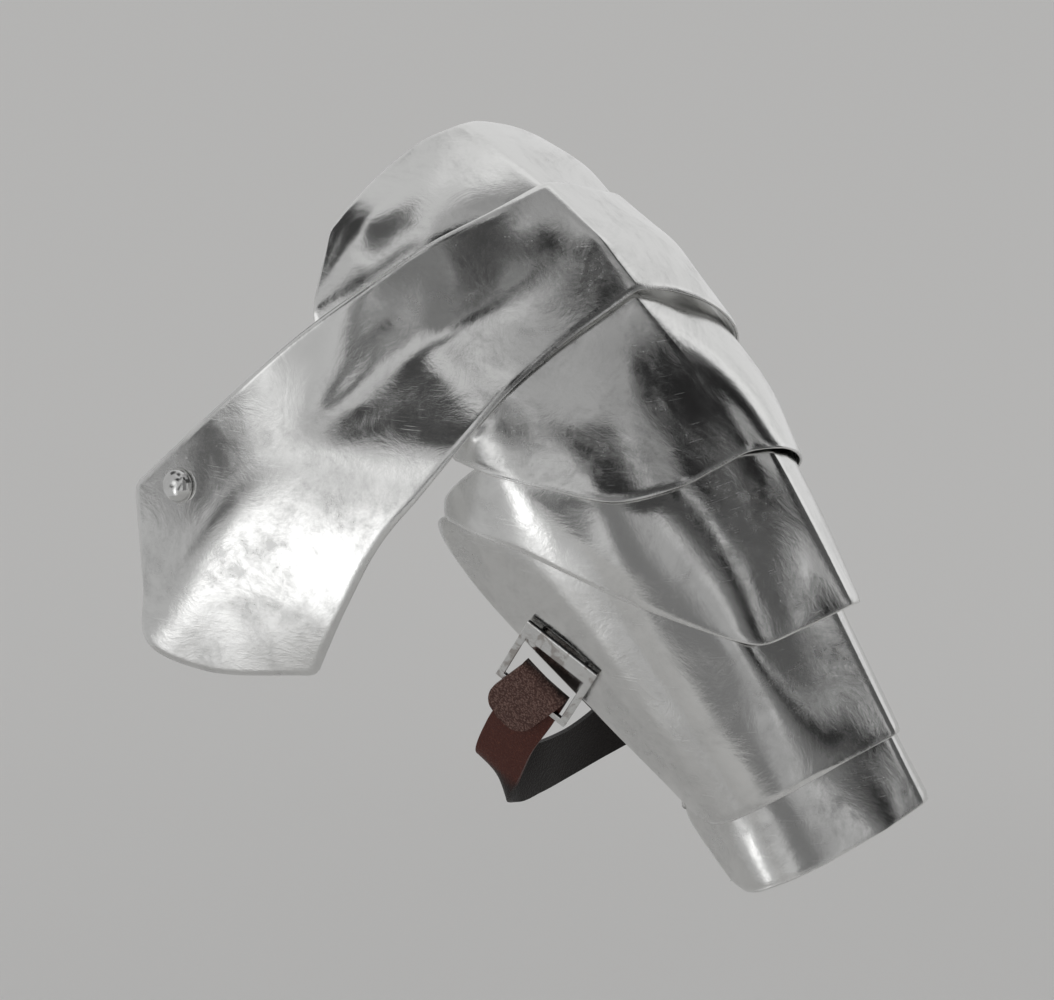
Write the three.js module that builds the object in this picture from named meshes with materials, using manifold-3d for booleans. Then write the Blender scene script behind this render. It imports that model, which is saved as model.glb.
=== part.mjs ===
import * as THREE from 'three';
import Module from 'manifold-3d';
import { mergeVertices } from 'three/addons/utils/BufferGeometryUtils.js';

// Frame: millimetres, X outward from the neck, Y to the back, Z up, origin on the ridge of the shoulder.

// Driving sizes
const SHEET = 1.4;
const LEATHER = 2.6;
const SEAT = 0.3;
const REACH = 200;
const DEPTH = 100;
const DROP = 200;
const ARM_TILT = 31.8;
const ARM_WIDTH = 100;
const ARM_LENGTH = 200;
const CUFF_OUT = 177;
const CUFF_DOWN = 273;
// One unit of the laps' gaps and one of the plates' bellies in the tables below
const PLAY = 1;
const BOW = 1;

// Stud on the chest wing
const STUD_RADIUS = 8.8;
const STUD_HEIGHT = 7;
const SHANK_RADIUS = 2.2;
const TAIL_RADIUS = 4.4;
const TAIL_HEIGHT = 1.2;
const STUD_ROUND = 0.7;
const STUD_ACROSS = 0.12;

// Buckle and strap
const BUCKLE_WIDTH = 43;
const BUCKLE_LENGTH = 42;
const BUCKLE_TOP = 10;
const BUCKLE_ARM = 3.8;
const BUCKLE_THICK = 2.2;
const BUCKLE_TURN = 20.3;
const BUCKLE_DIP = -8;
const STRAP_WIDTH = 28;
const TONGUE_LENGTH = 23;
const TONGUE_RISE = 0.8;
const TONGUE_ASIDE = 9;
const FOLD_REACH = 15;
const FOLD_SKEW = 8;
const FOLD_ASIDE = -1.5;
const BUCKLE_LIFT = 1.9;
const BUCKLE_ROUND = 0.76;
const BUCKLE_ACROSS = 0.739;
const POST_RADIUS = 1.6;
const POST_TAIL = 2.8;
const POST_SPREAD = 0.62;
const POST_SLACK = 0.3;
const RIVET_RADIUS = 4.5;
const RIVET_HEIGHT = 2.2;
const RIVET_SHANK = 1.8;
const RIVET_ROUND = 12.55;
const RIVET_ACROSS = 0.72;
const RIVET_REACH = 8;
const RIVET_SLACK = 1.3;

// Mesh fineness: steps between two stations round a plate, and between two columns across it
const STEPS_ROUND = 3;
const STEPS_ACROSS = 3;
const STRAP_STEPS = 3;
const DOME_STEPS = 5;
const ROUND_STEPS = 24;
const HOLE_STEPS = 12;
const HOLE_DEPTH = 3;
const TIP_SHARE = 0.12;

const vec = (x, y, z) => new THREE.Vector3(x, y, z);
const body = ([x, y, z]) => vec(x * REACH, y * DEPTH, z * DROP);
const tilt = THREE.MathUtils.degToRad(ARM_TILT);
const outward = vec(Math.cos(tilt), 0, Math.sin(tilt));
const along = vec(Math.sin(tilt), 0, -Math.cos(tilt));
const cuff = vec(CUFF_OUT, 0, -CUFF_DOWN);
const limb = ([w, y, a]) => cuff.clone()
  .addScaledVector(outward, w * ARM_WIDTH)
  .addScaledVector(along, a * ARM_LENGTH)
  .add(vec(0, y * DEPTH, 0));
const mix = (a, b, t) => a.clone().lerp(b, t);

// A smooth line through its points that keeps a corner at the listed stations
function line(points, corners) {
  const stops = [0, ...corners, points.length - 1];
  const runs = stops.slice(1).map((end, i) => new THREE.CatmullRomCurve3(
    points.slice(stops[i], end + 1), false, 'centripetal'));
  return (u) => {
    let i = 0;
    while (i < runs.length - 1 && u > stops[i + 1]) i += 1;
    const span = stops[i + 1] - stops[i];
    return runs[i].getPoint(THREE.MathUtils.clamp((u - stops[i]) / span, 0, 1));
  };
}

// A plate face: columns of stations, each column running from the front of the body to its back
class Face {
  constructor(columns, corners) {
    this.lines = columns.map((points) => line(points, corners));
    this.rounds = columns[0].length - 1;
    this.widths = columns.length - 1;
    this.corners = corners;
  }

  across(u) {
    return new THREE.CatmullRomCurve3(this.lines.map((at) => at(u)), false, 'centripetal');
  }

  point(u, v) {
    return this.across(u).getPoint(THREE.MathUtils.clamp(v, 0, 1));
  }

  tangents(u, v) {
    const step = 0.02;
    const round = this.point(Math.min(u + step, this.rounds), v).sub(this.point(Math.max(u - step, 0), v));
    const down = this.point(u, Math.min(v + step, 1)).sub(this.point(u, Math.max(v - step, 0)));
    return [round.normalize(), down.normalize()];
  }

  normal(u, v) {
    const [round, down] = this.tangents(u, v);
    return down.cross(round).normalize();
  }

  under(u, v, gap) {
    return this.point(u, v).addScaledVector(this.normal(u, v), -(SHEET + gap));
  }
}

// A closed wall between an outer and an inner net of points
function wall(outer, inner) {
  const rows = outer.length;
  const cols = outer[0].length;
  const position = [];
  for (const net of [outer, inner]) {
    for (const row of net) for (const p of row) position.push(p.x, p.y, p.z);
  }
  const index = [];
  const id = (side, i, j) => side * rows * cols + i * cols + j;
  const quad = (a, b, c, d) => index.push(a, b, c, a, c, d);
  for (let i = 0; i < rows - 1; i += 1) {
    for (let j = 0; j < cols - 1; j += 1) {
      quad(id(0, i, j), id(0, i, j + 1), id(0, i + 1, j + 1), id(0, i + 1, j));
      quad(id(1, i, j), id(1, i + 1, j), id(1, i + 1, j + 1), id(1, i, j + 1));
    }
  }
  for (let i = 0; i < rows - 1; i += 1) {
    quad(id(0, i, 0), id(0, i + 1, 0), id(1, i + 1, 0), id(1, i, 0));
    quad(id(0, i + 1, cols - 1), id(0, i, cols - 1), id(1, i, cols - 1), id(1, i + 1, cols - 1));
  }
  for (let j = 0; j < cols - 1; j += 1) {
    quad(id(0, 0, j + 1), id(0, 0, j), id(1, 0, j), id(1, 0, j + 1));
    quad(id(0, rows - 1, j), id(0, rows - 1, j + 1), id(1, rows - 1, j + 1), id(1, rows - 1, j));
  }
  const geometry = new THREE.BufferGeometry();
  geometry.setAttribute('position', new THREE.Float32BufferAttribute(position, 3));
  geometry.setIndex(index);
  return geometry;
}

function plate(face, stepsAcross = STEPS_ACROSS) {
  const outer = [];
  const inner = [];
  const rows = face.rounds * STEPS_ROUND;
  const cols = face.widths * stepsAcross;
  for (let i = 0; i <= rows; i += 1) {
    outer.push([]);
    inner.push([]);
    for (let j = 0; j <= cols; j += 1) {
      outer[i].push(face.point(i / STEPS_ROUND, j / cols));
      inner[i].push(face.under(i / STEPS_ROUND, j / cols, 0));
    }
  }
  return wall(outer, inner);
}

// Shoulder plate: a saddle from the chest tip over the ridge to the back
const shoulderRows = [
  { name: 'tip', upper: [-0.952, -1.24, -0.63], fold: [-0.893, -1.34, -1.02], lower: [-0.45, -1.14, -1.06] },
  { name: 'chest', upper: [-0.76, -1.2, -0.445], fold: [-0.741, -1.32, -0.788], lower: [-0.347, -1.18, -0.86] },
  { name: 'breast', upper: [-0.604, -1.12, -0.296], fold: [-0.606, -1.26, -0.6], lower: [-0.252, -1.16, -0.682] },
  { name: 'armpit', upper: [-0.496, -1.0, -0.19], fold: [-0.476, -1.16, -0.47], lower: [-0.156, -1.09, -0.55] },
  { name: 'collar', upper: [-0.372, -0.84, -0.086], fold: [-0.374, -1.01, -0.369], lower: [-0.081, -0.97, -0.432] },
  { name: 'front', upper: [-0.274, -0.61, 0.001], fold: [-0.226, -0.77, -0.222], lower: [-0.016, -0.77, -0.32] },
  { name: 'fore ridge', upper: [-0.19, -0.33, 0.06], fold: [-0.104, -0.43, -0.125], lower: [0.05, -0.43, -0.219] },
  { name: 'ridge', upper: [-0.133, 0, 0.114], fold: [0.031, -0.03, -0.001], lower: [0.146, -0.04, -0.117] },
  { name: 'rear ridge', upper: [-0.131, 0.24, 0.089], fold: [0.045, 0.22, -0.033], lower: [0.164, 0.18, -0.139] },
  { name: 'back', upper: [-0.135, 0.6, 0.034], fold: [0.035, 0.54, -0.052], lower: [0.205, 0.5, -0.203] },
  { name: 'corner', upper: [-0.15, 0.8, 0], fold: [0.035, 0.78, -0.115], lower: [0.2, 0.82, -0.315] },
  { name: 'blade', upper: [-0.23, 0.98, -0.13], fold: [-0.07, 1.02, -0.3], lower: [0.12, 1.04, -0.48] },
  { name: 'back end', upper: [-0.37, 1.08, -0.36], fold: [-0.21, 1.14, -0.53], lower: [0.03, 1.1, -0.64] },
];
const SHOULDER_RIDGE = 7;
const FOLD_SHARPNESS = 0.62;
const TIP_SWELL = 11;
const upperEdge = shoulderRows.map((row) => body(row.upper));
const foldLine = shoulderRows.map((row) => body(row.fold));
const lowerEdge = shoulderRows.map((row) => body(row.lower));
const aboveFold = upperEdge.map((p, i) => mix(p, foldLine[i], FOLD_SHARPNESS));
const belowFold = lowerEdge.map((p, i) => mix(p, foldLine[i], FOLD_SHARPNESS));
const tipWay = belowFold[0].clone().sub(belowFold[1]).normalize();
belowFold[0].addScaledVector(tipWay, TIP_SWELL);
const shoulder = new Face([upperEdge, aboveFold, foldLine, belowFold, lowerEdge], [SHOULDER_RIDGE]);

// Neck plate: runs out from beneath the upper edge of the shoulder plate
const neckRows = [
  { inner: [-0.547, -0.669, 0.003], belly: 4, at: 3.05, gap: 1.2 },
  { inner: [-0.523, -0.53, 0.068], belly: 5, at: 4, gap: 0.7 },
  { inner: [-0.49, -0.31, 0.14], belly: 5, at: 5, gap: 0.8 },
  { inner: [-0.435, -0.15, 0.199], belly: 3, at: 6, gap: 1.1 },
  { inner: [-0.37, 0, 0.233], belly: 1, at: 7, gap: 1.1 },
  { inner: [-0.38, 0.2, 0.222], belly: 2, at: 8, gap: 1.1 },
  { inner: [-0.36, 0.6, 0.164], belly: 3, at: 9, gap: 0.9 },
  { inner: [-0.34, 0.84, 0.09], belly: 3, at: 10, gap: 0.8 },
  { inner: [-0.34, 1.0, -0.05], belly: 3, at: 11, gap: 0.8 },
];
const NECK_RIDGE = 4;
const NECK_CORNER = [-0.504, -0.94, -0.15];
const LAP = 0.17;
const HEAD_LAP = 0.84;
const neckInner = neckRows.map((row) => body(row.inner));
const neckLine = neckRows.map((row) => shoulder.under(row.at, 0, row.gap * PLAY));
const neckLap = neckRows.map((row) => shoulder.under(row.at, LAP / 2, row.gap * PLAY));
const neckUnder = neckRows.map((row) => shoulder.under(row.at, LAP, row.gap * PLAY));
const bulged = (edge, seam, i, belly, share = 0.5) => {
  const round = edge[Math.min(i + 1, edge.length - 1)].clone().sub(edge[Math.max(i - 1, 0)]);
  const down = seam[i].clone().sub(edge[i]);
  return mix(edge[i], seam[i], share).add(down.cross(round).normalize().multiplyScalar(belly * BOW));
};
const neckMiddle = neckRows.map((row, i) => bulged(neckInner, neckLine, i, row.belly));
neckMiddle[0] = body(NECK_CORNER);
const neck = new Face([neckInner, neckMiddle, neckLine, neckLap, neckUnder], [NECK_RIDGE]);

// One lame: its head lies under the plate above, its hem is given row by row
function lame(above, rows, corners, place) {
  const under = (row, v) => above.under(row.from ?? row.at, v, row.gap * PLAY);
  const head = rows.map((row) => (row.head ? place(row.head) : under(row, HEAD_LAP)));
  const seam = rows.map((row) => (row.seam ? place(row.seam)
    : above.under(row.at, row.edge ?? 1, row.gap * PLAY)));
  const hem = rows.map((row) => place(row.hem));
  const middle = rows.map((row, i) => (row.middle ? place(row.middle)
    : bulged(hem, seam, i, -(row.belly ?? 0), row.share ?? 0.5)));
  return new Face([head, seam, middle, hem], corners);
}

// Upper lame: hem in the frame of the body
const upperRows = [
  { from: 4.75, at: 4.3, edge: 0.97, gap: 1.3, hem: [-0.14, -0.88, -0.485] },
  { from: 4.85, at: 4.5, gap: 1.2, hem: [-0.058, -0.91, -0.491] },
  { from: 5.0, at: 4.8, gap: 1.1, hem: [0.014, -0.92, -0.498], belly: 1 },
  { from: 5.3, at: 5.15, gap: 1.5, hem: [0.126, -0.88, -0.516], belly: 2 },
  { at: 5.75, gap: 2.5, hem: [0.28, -0.75, -0.54], belly: 3 },
  { at: 6.3, gap: 3.5, hem: [0.38, -0.48, -0.523], belly: 4 },
  { at: 6.7, gap: 4.5, hem: [0.408, -0.22, -0.51], belly: 3 },
  { at: 7, gap: 5, hem: [0.423, 0.06, -0.5], belly: 3 },
  { at: 8, gap: 5, hem: [0.465, 0.26, -0.507], belly: 4 },
  { at: 9.4, gap: 4, hem: [0.44, 0.6, -0.58], belly: 4 },
  { at: 10.3, gap: 2, hem: [0.36, 0.84, -0.66], belly: 5 },
  { at: 11.2, gap: 0.8, hem: [0.19, 0.98, -0.73], belly: 3 },
];
const upper = lame(shoulder, upperRows, [7], body);

// Middle lame: hem in the frame of the arm
const middleRows = [
  { from: 1.8, at: 1.0, gap: 0.6, middle: [-0.975, -0.835, -1.212], hem: [-1.045, -0.83, -1.166] },
  { from: 2.2, at: 1.7, gap: 0.8, hem: [-0.887, -0.87, -1.099] },
  { from: 2.6, at: 2.4, gap: 1.1, hem: [-0.712, -0.87, -1.018], belly: 1 },
  { at: 3.2, gap: 1.8, hem: [-0.543, -0.83, -0.914], belly: 2 },
  { at: 4.0, gap: 2.5, hem: [-0.371, -0.76, -0.8], belly: 3 },
  { at: 4.8, gap: 3, hem: [-0.215, -0.62, -0.683], belly: 3 },
  { at: 5.6, gap: 3, hem: [-0.086, -0.47, -0.59], belly: 3 },
  { at: 6.2, gap: 3, hem: [-0.036, -0.36, -0.552], belly: 3 },
  { at: 7.1, gap: 3, hem: [0.03, -0.1, -0.535], belly: 3 },
  { at: 7.9, gap: 3, hem: [0.161, 0.24, -0.526], belly: 1 },
  { at: 8.5, gap: 3, hem: [0.1, 0.42, -0.52], belly: 1 },
  { at: 9.4, gap: 2.5, hem: [-0.075, 0.64, -0.55], belly: 2 },
  { at: 10.2, gap: 1.5, hem: [-0.36, 0.84, -0.68], belly: 3 },
  { at: 11, gap: 0.6, hem: [-0.75, 0.92, -0.92], belly: 1 },
];
const middle = lame(upper, middleRows, [9], limb);

// Lower lame: the long one that carries the buckle
const lowerRows = [
  { from: 0.5, gap: 1.4,
    seam: [-1.113, -0.795, -1.165], middle: [-1.138, -0.74, -1.011], hem: [-0.825, -0.385, -0.235] },
  { at: 1.0, gap: 1.2, hem: [-0.745, -0.43, -0.208], share: 0.7 },
  { at: 2.0, gap: 0.8, hem: [-0.67, -0.47, -0.2], share: 0.6 },
  { at: 3.0, gap: 1, hem: [-0.58, -0.485, -0.196] },
  { at: 4.0, gap: 1.4, hem: [-0.43, -0.46, -0.197] },
  { at: 5.0, gap: 2, hem: [-0.3, -0.38, -0.197] },
  { at: 6.0, gap: 2.5, hem: [-0.2, -0.26, -0.197] },
  { at: 7.0, gap: 4, hem: [-0.13, -0.15, -0.197] },
  { at: 8.0, gap: 7, hem: [-0.04, 0.02, -0.196] },
  { at: 9.0, gap: 10, hem: [0.046, 0.24, -0.19] },
  { at: 10.0, gap: 9, hem: [-0.02, 0.4, -0.19] },
  { at: 11.0, gap: 6, hem: [-0.16, 0.58, -0.19] },
  { at: 12.0, gap: 2, hem: [-0.45, 0.68, -0.195] },
  { at: 13.0, gap: 0.6, hem: [-0.85, 0.62, -0.21] },
];
const lower = lame(middle, lowerRows, [9], limb);

// Bottom lame: the cuff above the elbow
const bottomRows = [
  { head: [-0.85, -0.36, -0.3], seam: [-0.895, -0.345, -0.241],
    middle: [-0.871, -0.34, -0.122], hem: [-0.845, -0.34, -0.05] },
  { at: 0.6, gap: 1.5, hem: [-0.785, -0.38, -0.027] },
  { at: 1.3, gap: 0.8, hem: [-0.735, -0.41, -0.016] },
  { at: 2.2, gap: 0.6, hem: [-0.635, -0.445, -0.01] },
  { at: 3.6, gap: 0.8, hem: [-0.47, -0.43, -0.006] },
  { at: 4.7, gap: 1, hem: [-0.33, -0.35, -0.004] },
  { at: 5.8, gap: 1.2, hem: [-0.22, -0.23, -0.004] },
  { at: 7.5, gap: 1.5, hem: [-0.09, -0.05, -0.005] },
  { at: 9.0, gap: 2, hem: [0.008, 0.24, -0.006] },
  { at: 10.0, gap: 1.8, hem: [-0.045, 0.39, -0.006] },
  { at: 11.0, gap: 1.2, hem: [-0.17, 0.55, -0.006] },
  { at: 12.0, gap: 0.8, hem: [-0.47, 0.64, -0.006] },
  { at: 13.0, gap: 0.6, hem: [-0.82, 0.58, -0.03] },
];
const bottom = lame(lower, bottomRows, [8], limb);

// A closed solid from any closed surface: shared corners joined, faces of no area dropped
function joined(geometry) {
  const bare = geometry.clone();
  for (const key of Object.keys(bare.attributes)) if (key !== 'position') bare.deleteAttribute(key);
  const merged = mergeVertices(bare, 1e-3);
  const index = merged.index.array;
  const kept = [];
  for (let i = 0; i < index.length; i += 3) {
    const [a, b, c] = [index[i], index[i + 1], index[i + 2]];
    if (a !== b && b !== c && c !== a) kept.push(a, b, c);
  }
  merged.setIndex(kept);
  return merged;
}

const wasm = await Module();
wasm.setup();
function toSolid(geometry) {
  const g = joined(geometry);
  return new wasm.Manifold(new wasm.Mesh({
    numProp: 3,
    vertProperties: new Float32Array(g.attributes.position.array),
    triVerts: new Uint32Array(g.index.array),
  }));
}
function toGeometry(solid) {
  const mesh = solid.getMesh();
  const geometry = new THREE.BufferGeometry();
  geometry.setAttribute('position', new THREE.BufferAttribute(new Float32Array(mesh.vertProperties), 3));
  geometry.setIndex(new THREE.BufferAttribute(new Uint32Array(mesh.triVerts), 1));
  return geometry;
}
const without = (geometry, tools) => toGeometry(
  tools.reduce((left, tool) => left.subtract(toSolid(tool)), toSolid(geometry)));
const fused = (parts) => toGeometry(
  parts.slice(1).reduce((sum, part) => sum.add(toSolid(part)), toSolid(parts[0])));

// A place on a face: origin on the outside, Z out of the sheet, X down it, Y round it
function seatOn(face, u, v, turn = 0) {
  const normal = face.normal(u, v);
  const down = face.tangents(u, v)[1].applyAxisAngle(normal, THREE.MathUtils.degToRad(turn));
  const round = normal.clone().cross(down);
  return new THREE.Matrix4().makeBasis(down, round, normal).setPosition(face.point(u, v));
}
const onAxis = (profile, segments, place) => new THREE.LatheGeometry(
  profile.map(([r, h]) => new THREE.Vector2(r, h)), segments).rotateX(Math.PI / 2).applyMatrix4(place);

// A rivet: domed head, shank through a stack, flat tail behind it
function rivet(place, radius, height, shank, stack, tail, tailHeight) {
  const profile = [[0, -stack - SEAT - tailHeight], [tail, -stack - SEAT - tailHeight], [tail, -stack - SEAT],
    [shank, -stack - SEAT], [shank, SEAT], [radius, SEAT]];
  for (let i = 1; i < DOME_STEPS; i += 1) {
    const turn = (i / DOME_STEPS) * (Math.PI / 2);
    profile.push([radius * Math.cos(turn), SEAT + height * Math.sin(turn)]);
  }
  profile.push([0, SEAT + height]);
  return onAxis(profile, ROUND_STEPS, place);
}
function hole(place, shank, depth) {
  const r = shank + SEAT;
  return onAxis([[0, -depth], [r, -depth], [r, depth], [0, depth]], HOLE_STEPS, place);
}

const studPlace = seatOn(shoulder, STUD_ROUND, STUD_ACROSS);
const stud = rivet(studPlace, STUD_RADIUS, STUD_HEIGHT, SHANK_RADIUS, SHEET, TAIL_RADIUS, TAIL_HEIGHT);
const shoulderPlate = without(plate(shoulder), [hole(studPlace, SHANK_RADIUS, HOLE_DEPTH)]);

// Buckle: a flat frame whose wide bar lies on the lower lame, held by two short posts
const buckleSeat = seatOn(lower, BUCKLE_ROUND, BUCKLE_ACROSS, BUCKLE_TURN);
const bucklePlace = buckleSeat.clone()
  .multiply(new THREE.Matrix4().makeTranslation(0, 0, BUCKLE_LIFT))
  .multiply(new THREE.Matrix4().makeRotationX(THREE.MathUtils.degToRad(BUCKLE_DIP)));
const half = BUCKLE_WIDTH / 2;
const barEnd = BUCKLE_TOP / 2 - BUCKLE_LENGTH;
const frame = new THREE.Shape([
  new THREE.Vector2(-half, BUCKLE_TOP / 2), new THREE.Vector2(-half, barEnd),
  new THREE.Vector2(half, barEnd), new THREE.Vector2(half, BUCKLE_TOP / 2)]);
const inside = half - BUCKLE_ARM;
frame.holes.push(new THREE.Path([
  new THREE.Vector2(-inside, -BUCKLE_TOP / 2), new THREE.Vector2(inside, -BUCKLE_TOP / 2),
  new THREE.Vector2(inside, barEnd + BUCKLE_ARM), new THREE.Vector2(-inside, barEnd + BUCKLE_ARM)]));
const buckleFrame = new THREE.ExtrudeGeometry(frame, { depth: BUCKLE_THICK, bevelEnabled: false })
  .applyMatrix4(bucklePlace);
const posts = [-1, 1].map((side) => {
  const place = buckleSeat.clone().multiply(new THREE.Matrix4().makeTranslation(side * half * POST_SPREAD, 0, 0));
  const depth = SHEET + SEAT + POST_SLACK;
  const profile = [[0, -depth - TAIL_HEIGHT], [POST_TAIL, -depth - TAIL_HEIGHT], [POST_TAIL, -depth],
    [POST_RADIUS, -depth], [POST_RADIUS, BUCKLE_LIFT + BUCKLE_THICK / 2], [0, BUCKLE_LIFT + BUCKLE_THICK / 2]];
  return { solid: onAxis(profile, HOLE_STEPS, place), hole: hole(place, POST_RADIUS, HOLE_DEPTH) };
});
const buckle = fused([buckleFrame, ...posts.map((post) => post.solid)]);

// Strap: folded round the end bar of the buckle, round the arm, fixed inside the back of the lower lame
const onBuckle = (length, height, aside = 0) => vec(-aside, barEnd + BUCKLE_ARM / 2 - length,
  BUCKLE_THICK / 2 + height).applyMatrix4(bucklePlace);
const clear = BUCKLE_THICK / 2 + SEAT + LEATHER / 2;
const layer = (LEATHER + SEAT) / 2;
const inward = (u, depth) => lower.under(u, RIVET_ACROSS, SEAT + LEATHER / 2 + depth * PLAY);
const strapPath = [
  { at: onBuckle(TONGUE_LENGTH, layer + TONGUE_RISE, TONGUE_ASIDE) },
  { at: onBuckle(TONGUE_LENGTH * 0.5, clear, TONGUE_ASIDE * 0.6) },
  { at: onBuckle(0, clear, TONGUE_ASIDE * 0.25) },
  { at: onBuckle(-FOLD_REACH * 0.55, clear * 1.1, 0) },
  { at: onBuckle(-FOLD_REACH * 0.92, clear * 0.75, FOLD_ASIDE) },
  { at: onBuckle(-FOLD_REACH, 0, FOLD_ASIDE) },
  { at: onBuckle(-FOLD_REACH * 0.92, -clear * 0.75, FOLD_ASIDE) },
  { at: onBuckle(-FOLD_REACH * 0.55, -clear * 1.1, FOLD_ASIDE) },
  { at: onBuckle(0, -clear, FOLD_ASIDE) },
  { at: onBuckle(TONGUE_LENGTH * 0.4, -clear, FOLD_ASIDE), lean: 0.1 },
  { at: limb([-1.506, -0.557, -0.605]), lean: 0.3 },
  { at: limb([-1.68, -0.52, -0.543]), lean: 0.36 },
  { at: limb([-1.71, -0.36, -0.507]), lean: 0.7, twist: 0.4 },
  { at: limb([-1.71, -0.17, -0.492]), lean: 0.9, twist: 0.6 },
  { at: limb([-1.69, 0.09, -0.484]), lean: 1, twist: 0.7 },
  { at: limb([-1.6, 0.34, -0.489]), lean: 1, twist: 0.6 },
  { at: limb([-1.36, 0.58, -0.505]), lean: 1, twist: 0.3 },
  { at: limb([-1.06, 0.69, -0.52]), lean: 1, twist: 0.1 },
  { at: inward(12.85, 0.6), lean: 1 },
  { at: inward(12.38, 1.3), lean: 1 },
];
const strapLine = new THREE.CatmullRomCurve3(strapPath.map((row) => row.at), false, 'centripetal');
const skew = THREE.MathUtils.degToRad(FOLD_SKEW);
const acrossBar = vec(Math.cos(skew), -Math.sin(skew), 0).transformDirection(bucklePlace);
const downArm = lower.tangents(RIVET_ROUND, RIVET_ACROSS)[1];
const strapOuter = [];
const strapInner = [];
const strapSteps = (strapPath.length - 1) * STRAP_STEPS;
for (let i = 0; i <= strapSteps; i += 1) {
  const t = i / strapSteps;
  const row = t * (strapPath.length - 1);
  const low = Math.min(Math.floor(row), strapPath.length - 2);
  const share = (key) => THREE.MathUtils.lerp(strapPath[low][key] ?? 0, strapPath[low + 1][key] ?? 0, row - low);
  const centre = strapLine.getPoint(t);
  const run = strapLine.getTangent(t);
  const side = mix(acrossBar, downArm, share('lean')).addScaledVector(outward, -share('twist'));
  side.addScaledVector(run, -side.dot(run)).normalize();
  const face = run.clone().cross(side).normalize();
  const fromTip = Math.min(centre.distanceTo(strapPath[0].at), STRAP_WIDTH / 2);
  const tip = TIP_SHARE + (1 - TIP_SHARE) * Math.sqrt(1 - (1 - fromTip / (STRAP_WIDTH / 2)) ** 2);
  const wide = (STRAP_WIDTH / 2) * (low < 4 ? tip : 1);
  const edge = (across, height) => centre.clone().addScaledVector(side, across * wide)
    .addScaledVector(face, height * (LEATHER / 2));
  strapOuter.push([-1, 0, 1].map((across) => edge(across, 1)));
  strapInner.push([-1, 0, 1].map((across) => edge(across, -1)));
}
const rivetPlace = seatOn(lower, RIVET_ROUND, RIVET_ACROSS);
const strapHole = hole(rivetPlace, RIVET_SHANK, RIVET_REACH);
const strap = without(wall(strapInner, strapOuter), [strapHole]);
const strapRivet = rivet(rivetPlace, RIVET_RADIUS, RIVET_HEIGHT, RIVET_SHANK, SHEET + SEAT + LEATHER + RIVET_SLACK,
  TAIL_RADIUS, TAIL_HEIGHT);
const lowerLame = without(plate(lower), [...posts.map((post) => post.hole), strapHole]);

const material = (name, color, roughness, metalness) => new THREE.MeshStandardMaterial(
  { name, color, roughness, metalness });
const root = new THREE.Group();
root.name = 'pauldron';
function add(name, geometry, look) {
  const mesh = new THREE.Mesh(geometry, look);
  mesh.name = name;
  root.add(mesh);
}
add('neck_plate', plate(neck), material('steel', 0xb6b6b4, 0.25, 1));
add('shoulder_plate', shoulderPlate, material('steel', 0xb0b0ae, 0.25, 1));
add('upper_lame', plate(upper), material('steel', 0xaeaeac, 0.25, 1));
add('middle_lame', plate(middle), material('steel', 0xacacaa, 0.25, 1));
add('lower_lame', lowerLame, material('steel', 0xb2b2b0, 0.25, 1));
add('bottom_lame', plate(bottom), material('steel', 0xaaaaa8, 0.25, 1));
add('wing_stud', stud, material('steel', 0xc2c2c0, 0.12, 1));
add('buckle_frame', buckle, material('steel', 0xbebebc, 0.2, 1));
add('arm_strap', strap, material('leather', 0x4a2c22, 0.7, 0));
add('strap_rivet', strapRivet, material('steel', 0xb0b0ae, 0.25, 1));

export default root;
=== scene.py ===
# %% [markdown]
# # A layered steel shoulder guard
# The guard has six overlapping plates, a domed stud, and a leather strap that closes it round the arm.
# Everything is in metres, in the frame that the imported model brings: X outward, Y to the back, Z up.

# %% Load the frame
import math
import bpy
import numpy as np
from mathutils import Matrix, Vector


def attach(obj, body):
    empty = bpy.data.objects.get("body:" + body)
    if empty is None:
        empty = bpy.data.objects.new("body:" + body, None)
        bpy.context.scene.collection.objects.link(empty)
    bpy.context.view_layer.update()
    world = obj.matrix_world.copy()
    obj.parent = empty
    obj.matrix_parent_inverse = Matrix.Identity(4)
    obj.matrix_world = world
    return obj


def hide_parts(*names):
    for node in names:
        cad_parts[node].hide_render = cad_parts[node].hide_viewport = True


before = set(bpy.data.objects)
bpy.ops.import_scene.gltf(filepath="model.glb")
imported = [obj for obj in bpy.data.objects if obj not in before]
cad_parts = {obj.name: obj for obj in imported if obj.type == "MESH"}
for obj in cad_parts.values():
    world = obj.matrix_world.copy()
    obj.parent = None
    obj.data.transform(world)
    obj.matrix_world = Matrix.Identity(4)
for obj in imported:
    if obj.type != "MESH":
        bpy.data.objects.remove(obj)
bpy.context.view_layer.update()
MM = 0.001
print("nodes:", sorted(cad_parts))

# %% [markdown]
# The camera stands where the photograph was taken from: a little above the shoulder and to its front right.
# Its place follows from an angle round the object, an angle above the horizon, a distance and a target.

# %% Camera
CAMERA_AZIMUTH = 30.7
CAMERA_ELEVATION = 17.6
CAMERA_DISTANCE = 1.6
CAMERA_TARGET = Vector((-7.1, -50.2, -124.6)) * MM
IMAGE_WIDTH = 1054
FOCAL_PIXELS = 3280
SENSOR = 36


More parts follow.
